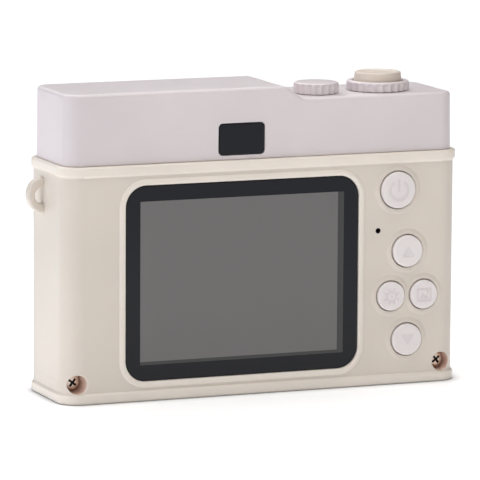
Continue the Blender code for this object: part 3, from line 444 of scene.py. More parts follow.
def metal(name, colour, roughness, stretch=(1.0, 1.0, 1.0), scale=2600.0):
    """Plated or brushed metal; stretch draws the brushing out along an axis."""
    nodes = Nodes(name)
    inputs = nodes.shader.inputs
    nodes.spread(nodes.noise(400.0), tint(colour, 0.86), tint(colour, 1.05), inputs["Base Color"])
    nodes.spread(nodes.noise(scale, 3.0, stretch), roughness - 0.06, roughness + 0.1, inputs["Roughness"])
    nodes.bump(nodes.noise(scale, 3.0, stretch), 0.2, 0.00001)
    inputs["Metallic"].default_value = 1.0
    return nodes.material


def circuit_board(name):
    """Green solder mask over copper tracks, drawn as fine square-cornered cells."""
    nodes = Nodes(name)
    inputs = nodes.shader.inputs
    cells = nodes.tree.nodes.new("ShaderNodeTexVoronoi")
    cells.distance = "CHEBYCHEV"
    cells.inputs["Scale"].default_value = 420.0
    nodes.link(nodes.place, cells.inputs["Vector"])
    track, mask = (0.01, 0.09, 0.035), (0.02, 0.17, 0.07)
    nodes.spread(cells.outputs["Distance"], track, mask, inputs["Base Color"], 0.3, 0.4)
    nodes.spread(nodes.noise(800.0), 0.3, 0.42, inputs["Roughness"])
    nodes.bump(cells.outputs["Distance"], 0.2, 0.00003)
    return nodes.material


def clear_plastic(name, colour):
    nodes = Nodes(name)
    inputs = nodes.shader.inputs
    nodes.spread(nodes.noise(80.0), tint(colour, 0.96), colour, inputs["Base Color"])
    nodes.spread(nodes.noise(900.0), 0.03, 0.08, inputs["Roughness"])
    inputs["Transmission Weight"].default_value = 0.9
    return nodes.material


BEIGE = plastic("body_plastic", (0.79, 0.72, 0.64), 0.36)
# Rims and lip: a lighter beige that is painted light, for the light they catch, and a little glossier.
PAINTED_LIGHT_BEIGE = plastic("rim_plastic_painted_light", (0.92, 0.848, 0.762), 0.32)
# Inside the screw wells: a warmer, redder beige, painted bounce light for the light thrown round in them.
WELL_PAINTED_BOUNCE = plastic("well_plastic_painted_bounce", (0.9, 0.71, 0.61), 0.42, glow=0.1)
LILAC = plastic("housing_plastic", (0.775, 0.715, 0.73), 0.32)
KEY_WHITE = plastic("key_plastic", (0.9, 0.845, 0.84), 0.4)
KEY_MARK = plastic("key_mark", (0.835, 0.78, 0.785), 0.5)
SHUTTER_BEIGE = plastic("shutter_plastic", (0.74, 0.65, 0.56), 0.42)
BLACK_PLASTIC = plastic("black_plastic", (0.018, 0.018, 0.02), 0.45, glow=0.0)
BEZEL = glossy("window_black", (0.004, 0.005, 0.010), 0.08, level=0.28)
BEZEL_EDGE = glossy("window_edge", (0.014, 0.010, 0.008), 0.2)
DISPLAY = glossy("display_grey", (0.168, 0.165, 0.163), 0.12)
DISPLAY_SIDE = glossy("display_side", (0.05, 0.052, 0.052), 0.12)
LENS_GLASS = glossy("lens_glass", (0.008, 0.006, 0.024), 0.03, level=0.5, coat=0.35)
LENS_MASK = glossy("lens_mask", (0.012, 0.012, 0.013), 0.3, level=0.3)
LCD_GLASS = glossy("lcd_glass", (0.12, 0.12, 0.12), 0.1)
SCREW_STEEL = metal("screw_steel", (0.93, 0.81, 0.7), 0.42)
SHEET_STEEL = metal("sheet_steel", (0.66, 0.66, 0.65), 0.32, (0.05, 1.0, 1.0))
TRIM_METAL = metal("trim_metal", (0.74, 0.72, 0.70), 0.22, (1.0, 1.0, 1.0), 4000.0)
BATTERY_FOIL = metal("battery_foil", (0.62, 0.62, 0.64), 0.4)
GREEN_BOARD = circuit_board("circuit_board")
FLEX = plastic("flex_film", (0.42, 0.19, 0.045), 0.3, glow=0.0)
PHOSPHOR = plastic("led_phosphor", (0.85, 0.72, 0.25), 0.5, glow=0.0)
CLEAR = clear_plastic("clear_window", (0.86, 0.87, 0.88))


# Body shells.


def body_block():
    """The body's outer form: rounded bottom rim, plain wall, rounded top rim."""
    section = [
        (-1.2, 0.0, 0),
        (RIM_PROUD, 0.0, 0.55),
        (RIM_PROUD, RIM_HEIGHT - 0.4, 0.55),
        (0.0, RIM_HEIGHT + 0.15, 0.5),
        (0.0, RIM_HEIGHT + 1.5, 0),
    ]
    bottom = rounded_path(section)
    top = [(offset, BODY_TOP - height) for offset, height in reversed(bottom)]
    return solid(loft([(body_plan(offset), height) for offset, height in bottom + top]))


def body_cavity():
    return solid(prism(body_plan(-WALL), WALL, BODY_TOP + 5))


def paint_light_on_raised(shell):
    """Gives the rims and the lip the second material: a little glossier, and lighter as painted light."""
    for face in shell.data.polygons:
        middle = face.center
        rim = middle.z < RIM_HEIGHT - 0.2 or middle.z > BODY_TOP - RIM_HEIGHT + 0.2
        on_lip = middle.y > REAR + 0.1 and abs(middle.x - SCREEN.x) < SCREEN_WIDTH / 2 + 2.5
        face.material_index = 1 if rim or on_lip else 0


def line_hole(obj, x, z, radius, low_y, high_y, slot):
    """Gives the faces inside a hole along Y a material of their own."""
    for face in obj.data.polygons:
        middle = face.center
        if math.hypot(middle.x - x, middle.z - z) < radius and low_y < middle.y < high_y:
            face.material_index = slot


def half_space(low_y, high_y):
    return solid(block((-60, low_y, -5), (60, high_y, BODY_TOP + 9)))


def swell(crest, foot, proud, dip=0.0):
    """The section of a soft raised bead, from its foot in over its crest, as (distance out, height)."""
    section = [(foot, -0.4)]
    steps = 12
    for i in range(steps + 1):
        share = i / steps
        height = proud * (0.5 - 0.5 * math.cos(math.pi * share))
        section.append((foot + (crest - foot) * share, height - 0.012 * (1 - share)))
    for share in (0.35, 0.7, 1.0):
        section.append((crest * (1 - share), proud - dip * share**2))
    return section


def lip():
    levels = [(screen_plan(out), height) for out, height in swell(0.75, LIP_FOOT, LIP_PROUD, 0.14)]
    return solid(loft(levels), on_rear(SCREEN.x, SCREEN.z))


def screen_recess():
    """The pocket for the window, with the lip's rounded inner edge above it."""
    brim = LIP_PROUD - 0.09
    room = 0.06
    section = rounded_path([(room, 0.0, 0), (room, brim, 0.2), (0.5, brim + 0.07, 0)], 4)[:-1]
    section = [(room, -SCREEN_THICK - GAP)] + section + [(section[-1][0], 2.0)]
    return solid(loft([(screen_plan(out), height) for out, height in section]), on_rear(SCREEN.x, SCREEN.z))


def screen_opening():
    width = SCREEN_WIDTH - 2 * SCREEN_BORDER
    height = SCREEN_HEIGHT - 2 * SCREEN_BORDER
    return solid(prism(rounded_rect(width, height, 2.4), -2 * WALL, 1.0), on_rear(SCREEN.x, SCREEN.z))


def key_radius(name):
    return spans(f"{name}_button")[1] / 2 - KEY_FLANGE


def collar(name):
    place = centre(f"{name}_button")
    inner = key_radius(name) + KEY_GAP
    section = [(inner + out, height) for out, height in swell(0.4, COLLAR_WIDTH + 0.3, COLLAR_PROUD)]
    return solid(turned(section), on_rear(place.x, place.z))


def key_hole(name):
    """The bore for a key, with a small rounded mouth at the top of its collar."""
    place = centre(f"{name}_button")
    bore = key_radius(name) + KEY_GAP
    section = [(bore, -2 * WALL), (bore, COLLAR_PROUD - 0.16), (bore + 0.05, COLLAR_PROUD - 0.05)]
    section += [(bore + 0.14, COLLAR_PROUD + 0.004), (bore + 0.14, 2.0)]
    return solid(turned(section), on_rear(place.x, place.z))


def microphone_hole():
    place = centre("microphone")
    mouth = MICROPHONE_BORE + 0.05
    section = [(MICROPHONE_BORE, -2 * WALL), (MICROPHONE_BORE, -0.06), (mouth, 0.01), (mouth, 1.0)]
    return solid(turned(section, 32), on_rear(place.x, place.z))


def screw_seat(node):
    """Where a case screw stands, and the Y that its head rests on."""
    low, high = corners(node)
    return (low.x + high.x) / 2, (low.z + high.z) / 2, high.y - HEAD_HEIGHT


def screw_well(node):
    """The deep well over a case screw, its mouth rolled outwards."""
    x, z, seat = screw_seat(node)
    mouth = []
    for angle in steps_to(1.35, 7):
        mouth.append((WELL_RADIUS + WELL_MOUTH * (1 - math.cos(angle)), WELL_MOUTH * (math.sin(angle) - 1)))
    section = [(WELL_RADIUS, seat - SEAT_GAP - REAR)] + mouth + [(mouth[-1][0], 1.0)]
    return solid(turned(section), on_rear(x, z))


def screw_boss(node, radius, start, end, flat=False):
    """A round boss behind a case screw; a flat one is cut off to stay inside the body's corner."""
    x, z, _ = screw_seat(node)
    outline = circle(radius, 32)
    if flat:
        room = BOSS_FLAT_X - abs(x)
        outline = [(max(-room, px) if x > 0 else min(room, px), pz) for px, pz in outline]
    return solid(prism(outline, start, end), on_rear(x, z, 0))


def steps_to(end, count):
    return [end * i / count for i in range(count + 1)]


def lug(side):
    """A D-shaped strap loop: a rounded bar swept from the wall out and back to it."""
    bm = bmesh.new()
    rows = []
    path_steps, section_steps = 28, 20
    for i in range(path_steps + 1):
        angle = math.pi * (i / path_steps - 0.5)
        outer = Vector((LUG_REACH * math.cos(angle), LUG_HALF_HEIGHT * math.sin(angle)))
        inner = Vector((LUG_HOLE_REACH * math.cos(angle), LUG_HOLE_HALF_HEIGHT * math.sin(angle)))
        middle, arm = (outer + inner) / 2, (outer - inner) / 2
        row = []
        for k in range(section_steps):
            turn = math.tau * k / section_steps
            across = math.copysign(abs(math.cos(turn)) ** 0.55, math.cos(turn))
            along = math.copysign(abs(math.sin(turn)) ** 0.55, math.sin(turn))
            point = middle + arm * across
            y = LUG_REAR - LUG_THICK / 2 * (1 + along)
            row.append((side * (HALF_WIDTH + point.x), y, LUG_Z + point.y))
        rows.append(row)
    foot = side * 1.2
    rows.insert(0, [(x - foot, y, z) for x, y, z in rows[0]])
    rows.append([(x - foot, y, z) for x, y, z in rows[-1]])
    join_rows(bm, [[bm.verts.new(point) for point in row] for row in rows])
    return solid(bm)


def screw_bores():
    bores = []
    for node in CASE_SCREWS:
        x, z, seat = screw_seat(node)
        bores.append(solid(prism(circle(SHANK_RADIUS + 0.2, 24), FRONT + 1.6, seat + 0.5), on_rear(x, z, 0)))
    return bores


def inner_posts():
    """Posts on the inside of the rear wall that the bracket and board screws bite into, and their bores."""
    posts, bores = [], []
    bracket_rear = corners("lcd_bracket")[1].y
    board_rear = corners("main_board")[1].y
    seats = [(f"bracket_screw_{i}", bracket_rear) for i in range(1, 5)]
    seats += [(f"board_screw_{i}", board_rear) for i in (1, 2)]
    for screw, seat in seats:
        place = on_rear(centre(screw).x, centre(screw).z, 0)
        posts.append(solid(prism(circle(POST_RADIUS, 24), seat + GAP, REAR - WALL / 2), place))
        bores.append(solid(prism(circle(POST_BORE, 16), seat - 1, REAR - WALL - 0.5), place))
    return posts, bores


def port_openings():
    """The rounded openings in the -X wall for the charging socket and the memory card."""
    openings = []
    for node, outline in (
        ("usb_port", rounded_rect(3.8, 9.6, 1.7, steps=8)),
        ("card_slot", rounded_rect(1.7, 12.2, 0.5, steps=6)),
    ):
        place = centre(node)
        openings.append(solid(prism(outline, -WALL - 1, 1), on_side(place.y, place.z, -HALF_WIDTH)))
    return openings


def make_rear_shell():
    shell = cut(body_block(), body_cavity())
    posts, bores = inner_posts()
    bosses = []
    for node in CASE_SCREWS:
        bosses.append(screw_boss(node, BOSS_RADIUS, PARTING + GAP, REAR - BOSS_SHORT))
        bosses.append(screw_boss(node, BOSS_RADIUS, REAR - BOSS_SHORT - 1, REAR - WALL / 2, flat=True))
    add(shell, *bosses, *posts, lug(1), lug(-1))
    cut(shell, half_space(FRONT - 5, PARTING + GAP / 2))
    add(shell, lip(), *(collar(name) for name in KEY_NAMES))
    cut(shell, screen_opening(), screen_recess(), *(key_hole(name) for name in KEY_NAMES), microphone_hole())
    cut(shell, *(screw_well(node) for node in CASE_SCREWS), *screw_bores(), *bores, *port_openings())
    paint_light_on_raised(shell)
    # The wells' insides get the warm beige: painted bounce light.
    for node in CASE_SCREWS:
        x, z, seat = screw_seat(node)
        line_hole(shell, x, z, WELL_RADIUS + 0.02, seat - 1, REAR - 0.3, 2)
    # The microphone hole's walls get black plastic: painted shade, as they are the beige shell.
    place = centre("microphone")
    line_hole(shell, place.x, place.z, MICROPHONE_BORE + 0.04, PARTING, REAR, 3)
    materials = [BEIGE, PAINTED_LIGHT_BEIGE, WELL_PAINTED_BOUNCE, BLACK_PLASTIC]
    piece(shell, "rear_case", "body", ["rear_shell"], "body_plastic", materials)


def speaker_holes():
    place = centre("speaker")
    holes = []
    for ring, count in ((0.0, 1), (2.4, 6), (4.8, 12)):
        for i in range(count):
            angle = math.tau * i / count
            mouth = SPEAKER_BORE + 0.16
            section = [(SPEAKER_BORE, -2 * WALL), (SPEAKER_BORE, -0.2), (mouth, 0.01), (mouth, 1.0)]
            x = place.x + ring * math.cos(angle)
            z = place.z + ring * math.sin(angle)
            holes.append(solid(turned(section, 20), on_front(x, z)))
    return holes


def make_front_shell():
    shell = cut(body_block(), body_cavity(), half_space(PARTING - GAP / 2, REAR + 5))
    add(shell, *(screw_boss(node, 2.6, FRONT + WALL / 2, PARTING - GAP, flat=True) for node in CASE_SCREWS))
    lens_hole = solid(prism(circle(LENS_NECK + GAP), -2 * WALL, 2.0), on_front(LENS.x, LENS.z))
    cut(shell, lens_hole, *speaker_holes(), *screw_bores())
    paint_light_on_raised(shell)
    piece(shell, "front_case", "body", ["front_shell"], "body_plastic", [BEIGE, PAINTED_LIGHT_BEIGE])


# Top housing.


def housing_top(x):
    """The height of the top over x: tall, a slope with soft ends, low."""
    run = SLOPE_START_X - SLOPE_END_X
    blend = SLOPE_BLEND / run

    def area(t):
        return 0.0 if t < 0 else t * t / 2 if t < 1 else t - 0.5

    t = (x - SLOPE_END_X) / run
    share = (area(t + blend) - area(t - blend)) / (2 * blend)
    return LOW_TOP + (TALL_TOP - LOW_TOP) * share


def housing_plan(inset, slope_stations):
    """The housing's outline from above, with extra points along its long sides where the slope runs."""
    half_width = HOUSING_HIGH.x - inset
    half_depth = HOUSING_HIGH.y - MIDDLE - inset
    outline = rounded_rect(2 * half_width, 2 * half_depth, HOUSING_RADIUS - inset, 0.0, MIDDLE)
    quarter = CORNER_STEPS + 1
    rear = [(x, MIDDLE + half_depth) for x in reversed(slope_stations)]
    front = [(x, MIDDLE - half_depth) for x in slope_stations]
    return outline[:quarter] + rear + outline[quarter : 3 * quarter] + front + outline[3 * quarter :]


def housing_block():
    """The outer form: walls, a rounded top edge that follows the slope, and a top of strips across it."""
    stations = [SLOPE_END_X - 1 + (SLOPE_START_X - SLOPE_END_X + 2) * i / 28 for i in range(29)]
    bm = bmesh.new()
    rows = [
        [bm.verts.new((x, y, BODY_TOP + SEAM)) for x, y in housing_plan(0.1, stations)],
        [bm.verts.new((x, y, BODY_TOP + SEAM + 0.1)) for x, y in housing_plan(0.0, stations)],
    ]
    for angle in steps_to(math.pi / 2, 8):
        inset = HOUSING_DRAFT + HOUSING_EDGE * (1 - math.cos(angle))
        drop = HOUSING_EDGE * (1 - math.sin(angle))
        plan = housing_plan(inset, stations)
        rows.append([bm.verts.new((x, y, housing_top(x) - drop)) for x, y in plan])
    join_sides(bm, rows)
    bm.faces.new(reversed(rows[0]))
    top = rows[-1]
    quarter = CORNER_STEPS + 1
    rear = top[quarter - 1 : quarter + len(stations) + 1]
    after = 3 * quarter + len(stations)
    front = list(reversed(top[after - 1 : after + len(stations) + 1]))
    for i in range(len(rear) - 1):
        bm.faces.new((rear[i], rear[i + 1], front[i + 1], front[i]))
    bm.faces.new(top[after + len(stations) :] + top[:quarter])
    bm.faces.new(top[quarter + len(stations) : after])
    return solid(bm)


def housing_cavity(left, foot, top):
    """The space inside the housing's walls, from x = left to the +X wall."""
    right = HOUSING_HIGH.x - HOUSING_WALL
    depth = 2 * (HOUSING_HIGH.y - MIDDLE - HOUSING_WALL)
    outline = rounded_rect(right - left, depth, 1.9, (right + left) / 2, MIDDLE, 6)
    return solid(prism(outline, foot, top - HOUSING_WALL))


def window_recess(node, place):
    """A pocket for a flush window, with a smaller opening behind it."""
    width, height, thick = spans(node)
    edge = rounded_rect(width + GAP, height + GAP, 1.05, steps=10)
    mouth = rounded_rect(width + GAP + 0.2, height + GAP + 0.2, 1.15, steps=10)
    opening = rounded_rect(width - 1.6, height - 1.6, 0.45, steps=10)
    pocket = loft([(edge, -thick - GAP), (edge, -0.1), (mouth, 0.004), (mouth, 1.0)])
    return [solid(prism(opening, -2 * HOUSING_WALL, 0.0), place), solid(pocket, place)]


def make_housing():
    housing = housing_block()
    add(housing, solid(prism(body_plan(-WALL - GAP), BODY_TOP - TONGUE_DEPTH, HOUSING_BASE + LEDGE / 2)))
    bore = body_plan(-WALL - GAP - TONGUE_WALL)
    cut(
        housing,
        solid(prism(bore, BODY_TOP - TONGUE_DEPTH - 1, HOUSING_BASE + LEDGE + 1)),
        housing_cavity(HOUSING_WALL - HOUSING_HIGH.x, HOUSING_BASE + LEDGE, LOW_TOP),
        housing_cavity(SLOPE_START_X + HOUSING_WALL, HOUSING_BASE + 3, TALL_TOP),
    )
    posts, holes = [], []
    board_top = corners("top_board")[1].z
    for number in (1, 2):
        screw = centre(f"top_board_screw_{number}")
        place = at(screw.x, screw.y)
        post = prism(circle(HOUSING_POST_RADIUS, 24), board_top + GAP, LOW_TOP - HOUSING_WALL / 2)
        posts.append(solid(post, place))
        holes.append(solid(prism(circle(POST_BORE, 16), board_top - 1.2, board_top + 5.8), place))
    add(housing, *posts)
    for middle, radius in ((RING, RING_NECK + GAP), (DIAL, SPINDLE_RADIUS + 0.25)):
        bore = prism(circle(radius), LOW_TOP - 2 * HOUSING_WALL, LOW_TOP + 1)
        holes.append(solid(bore, at(middle.x, middle.y)))
    rear, front = HOUSING_HIGH.y, corners("viewfinder_front_window")[0].y
    finder, flash = centre("viewfinder_rear_window"), centre("flash_window")
    holes += window_recess("viewfinder_rear_window", on_rear(finder.x, finder.z, rear))
    holes += window_recess("viewfinder_front_window", on_front(finder.x, finder.z, front))
    holes += window_recess("flash_window", on_front(flash.x, flash.z, front))
    cut(housing, *holes)
    piece(housing, "upper_housing", "body", ["top_housing"], "housing_plastic", [LILAC])


# Screen and windows.


def make_screen():
    """The window: a black printed border round an opening, and the display flush in it."""
    edge = rounded_path([(0.0, -SCREEN_THICK, 0), (0.0, 0.0, 0.22), (-1.0, 0.0, 0)], 4)
    outer = [(screen_plan(out), height) for out, height in edge[:-1]]
    border = solid(loft(outer), on_rear(SCREEN.x, SCREEN.z))
    opening = rounded_rect(DISPLAY_WIDTH + 0.06, DISPLAY_HEIGHT + 0.06, 0.25, steps=4)
    cut(border, solid(prism(opening, -2 * SCREEN_THICK, 1.0), on_rear(SCREEN.x, SCREEN.z)))
    for face in border.data.polygons:
        face.material_index = 0 if face.normal.y > 0.9 else 1
    piece(border, "screen_border", "body", ["screen_window"], "window_black", [BEZEL, BEZEL_EDGE])

    half_wide, half_high = DISPLAY_WIDTH / 2, DISPLAY_HEIGHT / 2
    columns = (-half_wide, 0.0, half_wide - DISPLAY_STRIP, half_wide)
    rows = (-half_high, -half_high + DISPLAY_FOOT, half_high)
    bm = bmesh.new()
    grid = [[bm.verts.new((u, v, 0.0)) for u in columns] for v in rows]
    back = [[bm.verts.new((u, v, 0.1 - SCREEN_THICK)) for u in columns] for v in rows]
    for level in (grid, back):
        for r in range(len(rows) - 1):
            for c in range(len(columns) - 1):
                lower, upper = level[r], level[r + 1]
                face = bm.faces.new((lower[c], lower[c + 1], upper[c + 1], upper[c]))
                if level is grid:
                    face.material_index = 1 if c == 2 or r == 0 else 0
    rim = edge_loop(grid)
    rim_back = edge_loop(back)
    for i in range(len(rim)):
        j = (i + 1) % len(rim)
        bm.faces.new((rim[i], rim[j], rim_back[j], rim_back[i])).material_index = 1
    display = solid(bm, on_rear(SCREEN.x, SCREEN.z))
    piece(display, "display", "body", ["screen_window"], "lcd_glass", [DISPLAY, DISPLAY_SIDE])


def edge_loop(grid):
    """The vertices round the edge of a grid, in order."""
    right = [row[-1] for row in grid[1:-1]]
    left = [row[0] for row in reversed(grid[1:-1])]
    return grid[0] + right + list(reversed(grid[-1])) + left


def make_small_windows():
    settings = (
        ("viewfinder_rear_window", "finder_rear_glass", on_rear, BEZEL, "window_black"),
        ("viewfinder_front_window", "finder_front_glass", on_front, BEZEL, "window_black"),
        ("flash_window", "flash_cover", on_front, CLEAR, "clear_window"),
    )
    for node, name, placing, material, slot in settings:
        low, high = corners(node)
        width, height, thick = spans(node)
        face = high.y if placing is on_rear else low.y
        levels = [(0.0, -thick), (0.0, -0.14), (-0.04, -0.05), (-0.14, 0.0)]
        shapes = []
        for out, top in levels:
            shapes.append((rounded_rect(width + 2 * out, height + 2 * out, 0.9 + out, steps=8), top))
        middle = (low + high) / 2
        window = solid(loft(shapes), placing(middle.x, middle.z, face))
        if node == "flash_window":
            cut_prisms(window, middle, width, height, high.y)
        piece(window, name, "body", [node], slot, [material])


def cut_prisms(window, middle, width, height, back):
    """Cuts upright diffusing grooves into the back of the flash window."""
    pitch = 0.8
    count = int((width - 1.4) / pitch)
    grooves = []
    for i in range(count):
        x = middle.x + (i - (count - 1) / 2) * pitch
        outline = ((x - 0.3, back + 0.1), (x + 0.3, back + 0.1), (x, back - 0.25))
        grooves.append(solid(prism(outline, middle.z - height / 2 + 0.7, middle.z + height / 2 - 0.7)))
    cut(window, *grooves)


# Keys.


def bar(u0, v0, u1, v1, width):
    """A straight stroke with round ends."""
    start, end = Vector((u0, v0)), Vector((u1, v1))
    along = (end - start).normalized() * width / 2
    outline = []
    for tip, turn in ((end, -math.pi / 2), (start, math.pi / 2)):
        for i in range(9):
            angle = turn + math.pi * i / 8
            arm = Matrix.Rotation(angle, 2) @ along
            outline.append(tuple(tip + arm))
    return outline


def arc(radius, width, gap):
    """A ring stroke that is open by gap radians each side of the top."""
    angles = [math.pi / 2 + gap + angle for angle in steps_to(math.tau - 2 * gap, 40)]
    outline = []
    for reach, turns in ((radius + width / 2, angles), (radius - width / 2, reversed(angles))):
        outline += [(reach * math.cos(a), reach * math.sin(a)) for a in turns]
    return outline


def triangle(width, height, up):
    half, corner = width / 2, 0.25
    tip = height / 2 if up else -height / 2
    path = [(0, -tip, 0), (half, -tip, corner), (0, tip, corner), (-half, -tip, corner), (-0.01, -tip, 0)]
    return rounded_path(path, 4)


def picture_frame(width, height, stroke):
    """A rectangular line as four bars."""
    u, v = width / 2, height / 2
    sides = ((-u, v, u, v), (-u, -v, u, -v), (-u, -v, -u, v), (u, -v, u, v))
    return [bar(*side, stroke) for side in sides]


def icon(name):
    """Outlines of the strokes sunk into a key: generic signs for on, up, down, settings and pictures."""
    if name == "power":
        return [arc(2.15, 0.75, 0.58), bar(0, -0.1, 0, 2.2, 0.7)]
    if name in ("up", "down"):
        return [triangle(3.3, 2.6, name == "up")]
    if name == "settings":
        petals = []
        for i in range(8):
            angle = math.tau * (i + 0.5) / 8
            c, s = math.cos(angle), math.sin(angle)
            petals.append(bar(1.25 * c, 1.25 * s, 1.7 * c, 1.7 * s, 0.6))
        return petals + [arc(1.08, 0.5, 0.03), circle(0.3, 16)]
    hill = [(-1.15, -0.85), (1.15, -0.85), (0.55, 0.15), (0.15, -0.2), (-0.4, 0.55)]
    return picture_frame(3.3, 2.7, 0.5) + [hill, circle(0.32, 14, 0.8, 0.66)]


def make_keys():
    for name in KEY_NAMES:
        node = f"{name}_button"
        place = on_rear(centre(node).x, centre(node).z)
        radius = key_radius(name)
        flange = radius + KEY_FLANGE
        shoulder = -WALL - GAP
        section = [
            (1.1, -KEY_STEM_END, 0),
            (1.1, shoulder - 0.8, 0),
            (flange, shoulder - 0.8, 0),
            (flange, shoulder, 0),
            (radius, shoulder, 0),
            (radius, KEY_PROUD - 0.02, 0.42),
            (radius * 0.55, KEY_PROUD, 0),
        ]
        profile = rounded_path(section, 7)
        key = solid(turned(profile), place)
        sunk = KEY_PROUD - ICON_DEPTH
        cut(key, *(solid(prism(outline, sunk, KEY_PROUD + 1), place) for outline in icon(name)))
        floor = REAR + sunk
        for face in key.data.polygons:
            face.material_index = 1 if abs(face.center.y - floor) < 0.01 and face.normal.y > 0.9 else 0
        piece(key, f"{name}_key_cap", f"{name}_key", [node], "key_plastic", [KEY_WHITE, KEY_MARK])


# Shutter and dials.


def dial_crown(radius, ribs, steps_each, low, high, edge):
    """Levels of a ribbed skirt whose hollows run out into a smooth rounded top edge."""
    count = ribs * steps_each
    shoulder = high - edge
    bevel = 0.12
    levels = [(ribbed(radius - bevel, FLUTE_DEPTH, ribs, steps_each), low)]
    for height in steps_to(shoulder - 0.2 - low - bevel, 4):
        levels.append((ribbed(radius, FLUTE_DEPTH, ribs, steps_each), low + bevel + height))
    for angle in steps_to(math.pi / 2, 8):
        fade = max(0.0, 1.0 - angle / 0.7) ** 0.8
        reach = radius - edge * (1 - math.cos(angle))
        outline = ribbed(reach, FLUTE_DEPTH * fade, ribs, steps_each)
        levels.append((outline, shoulder + edge * math.sin(angle)))
    return levels, count


def clip_groove(shaft, groove):
    """Levels up a shaft's outline, with the groove that its clip sits in, to the dial's foot."""
    return [
        (shaft, CLIP_GROOVE_FOOT),
        (groove, CLIP_GROOVE_FOOT),
        (groove, CLIP_GROOVE_TOP),
        (shaft, CLIP_GROOVE_TOP),
        (shaft, DIAL_FOOT),
    ]


def make_small_dial():
    crown = 0.1
    levels, count = dial_crown(SMALL_RADIUS, 18, 10, DIAL_FOOT, SMALL_TOP - crown, 0.5)
    spindle = circle(SPINDLE_RADIUS, count)
    stem = [(spindle, corners("small_dial")[0].z)]
    stem += clip_groove(spindle, circle(SPINDLE_RADIUS - 0.4, count))
    for share in (0.75, 0.5, 0.25, 0.05):
        levels.append((circle(SMALL_RADIUS * share, count), SMALL_TOP - crown * share**2))
    dial = solid(loft(stem + levels), at(DIAL.x, DIAL.y))
    piece(dial, "mode_dial", "small_dial", ["small_dial"], "housing_plastic", [LILAC])


def make_shutter_ring():
    levels, count = dial_crown(RING_RADIUS, 24, 8, DIAL_FOOT, RING_TOP, 0.75)
    neck = circle(RING_NECK, count)
    bore = circle(RING_BORE, count)
    inner = [
        (circle(RING_BORE + 0.25, count), RING_TOP),
        (circle(RING_BORE + 0.07, count), RING_TOP - 0.08),
        (bore, RING_TOP - 0.25),
        (bore, RING_NECK_END),
        (neck, RING_NECK_END),
    ]
    inner += clip_groove(neck, circle(RING_NECK - 0.3, count))
    ring = solid(loft(inner + levels, ring=True), at(RING.x, RING.y))
    piece(ring, "shutter_collar", "shutter_ring", ["shutter_ring"], "housing_plastic", [LILAC])


def make_shutter():
    flange_top = RING_NECK_END - GAP
    section = [
        (1.4, SHUTTER_STEM_END, 0),
        (1.4, flange_top - 1, 0),
        (SHUTTER_FLANGE, flange_top - 1, 0),
        (SHUTTER_FLANGE, flange_top, 0),
        (SHUTTER_RADIUS, flange_top, 0),
        (SHUTTER_RADIUS, RING_TOP - 0.2, 0),
        (SHUTTER_TOP_RADIUS, SHUTTER_TOP, 0.32),
        (SHUTTER_TOP_RADIUS - 0.8, SHUTTER_TOP, 0.5),
        (SHUTTER_TOP_RADIUS - 1.6, SHUTTER_TOP - 0.16, 0.8),
        (0.3, SHUTTER_TOP - 0.2, 0),
    ]
    profile = rounded_path(section)
    button = solid(turned(profile, 96), at(RING.x, RING.y))
    piece(button, "shutter_cap", "shutter", ["shutter_button"], "shutter_plastic", [SHUTTER_BEIGE])


def make_shutter_spring():
    """The round-wire spring under the shutter, built at its rest length; nothing here shortens it as the
    shutter goes down.
    """
    low, high = corners("shutter_spring")
    wire = 0.25
    reach = (high.x - low.x) / 2 - wire
    turns, steps_each, sides = 4.5, 32, 10
    steps = int(turns * steps_each)
    bm = bmesh.new()
    rows = []
    for i in range(steps + 1):
        angle = math.tau * i / steps_each
        height = low.z + wire + (high.z - low.z - 2 * wire) * i / steps
        row = []
        for k in range(sides):
            turn = math.tau * k / sides
            out = reach + wire * math.cos(turn)
            place = (out * math.cos(angle), out * math.sin(angle), height + wire * math.sin(turn))
            row.append(bm.verts.new(place))
        rows.append(row)
    join_rows(bm, rows)
    spring = solid(bm, at(RING.x, RING.y))
    piece(spring, "shutter_coil", "body", ["shutter_spring"], "screw_steel", [SCREW_STEEL])
    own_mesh(spring)


# Screws.


def make_case_screws():
    for node in CASE_SCREWS:
        low, high = corners(node)
        top = high.y
        x, z, seat = screw_seat(node)
        section = [
            (SHANK_RADIUS * 0.4, low.y, 0),
            (SHANK_RADIUS, low.y + 0.8, 0),
            (SHANK_RADIUS, seat, 0),
            (HEAD_RADIUS, seat, 0),
            (HEAD_RADIUS, top - 0.12, 0.38),
            (HEAD_RADIUS * 0.5, top, 0),
        ]
        profile = rounded_path(section, 6)
        place = on_rear(x, z, 0)
        screw = solid(turned(profile, 48), place)
        arms = []
        for quarter in (0.25, 0.75):
            angle = math.pi * quarter + math.copysign(0.12, x)
            levels = []
            for depth, reach, half in ((-0.85, 0.4, 0.12), (-0.5, 0.95, 0.22), (0.4, 1.2, 0.3)):
                slot = ((-reach, -half), (reach, -half), (reach, half), (-reach, half))
                levels.append(([tuple(Matrix.Rotation(angle, 2) @ Vector(p)) for p in slot], top + depth))
            arms.append(solid(loft(levels), place))
        cut(screw, *arms)
        # The cross recess gets black plastic: painted shade in the steel head's slots.
        line_hole(screw, x, z, HEAD_RADIUS * 0.8, seat, top - 0.06, 1)
        piece(screw, f"{node}_head", "body", [node], "screw_steel", [SCREW_STEEL, BLACK_PLASTIC])


# Lens, a guess: the photograph shows the rear only.


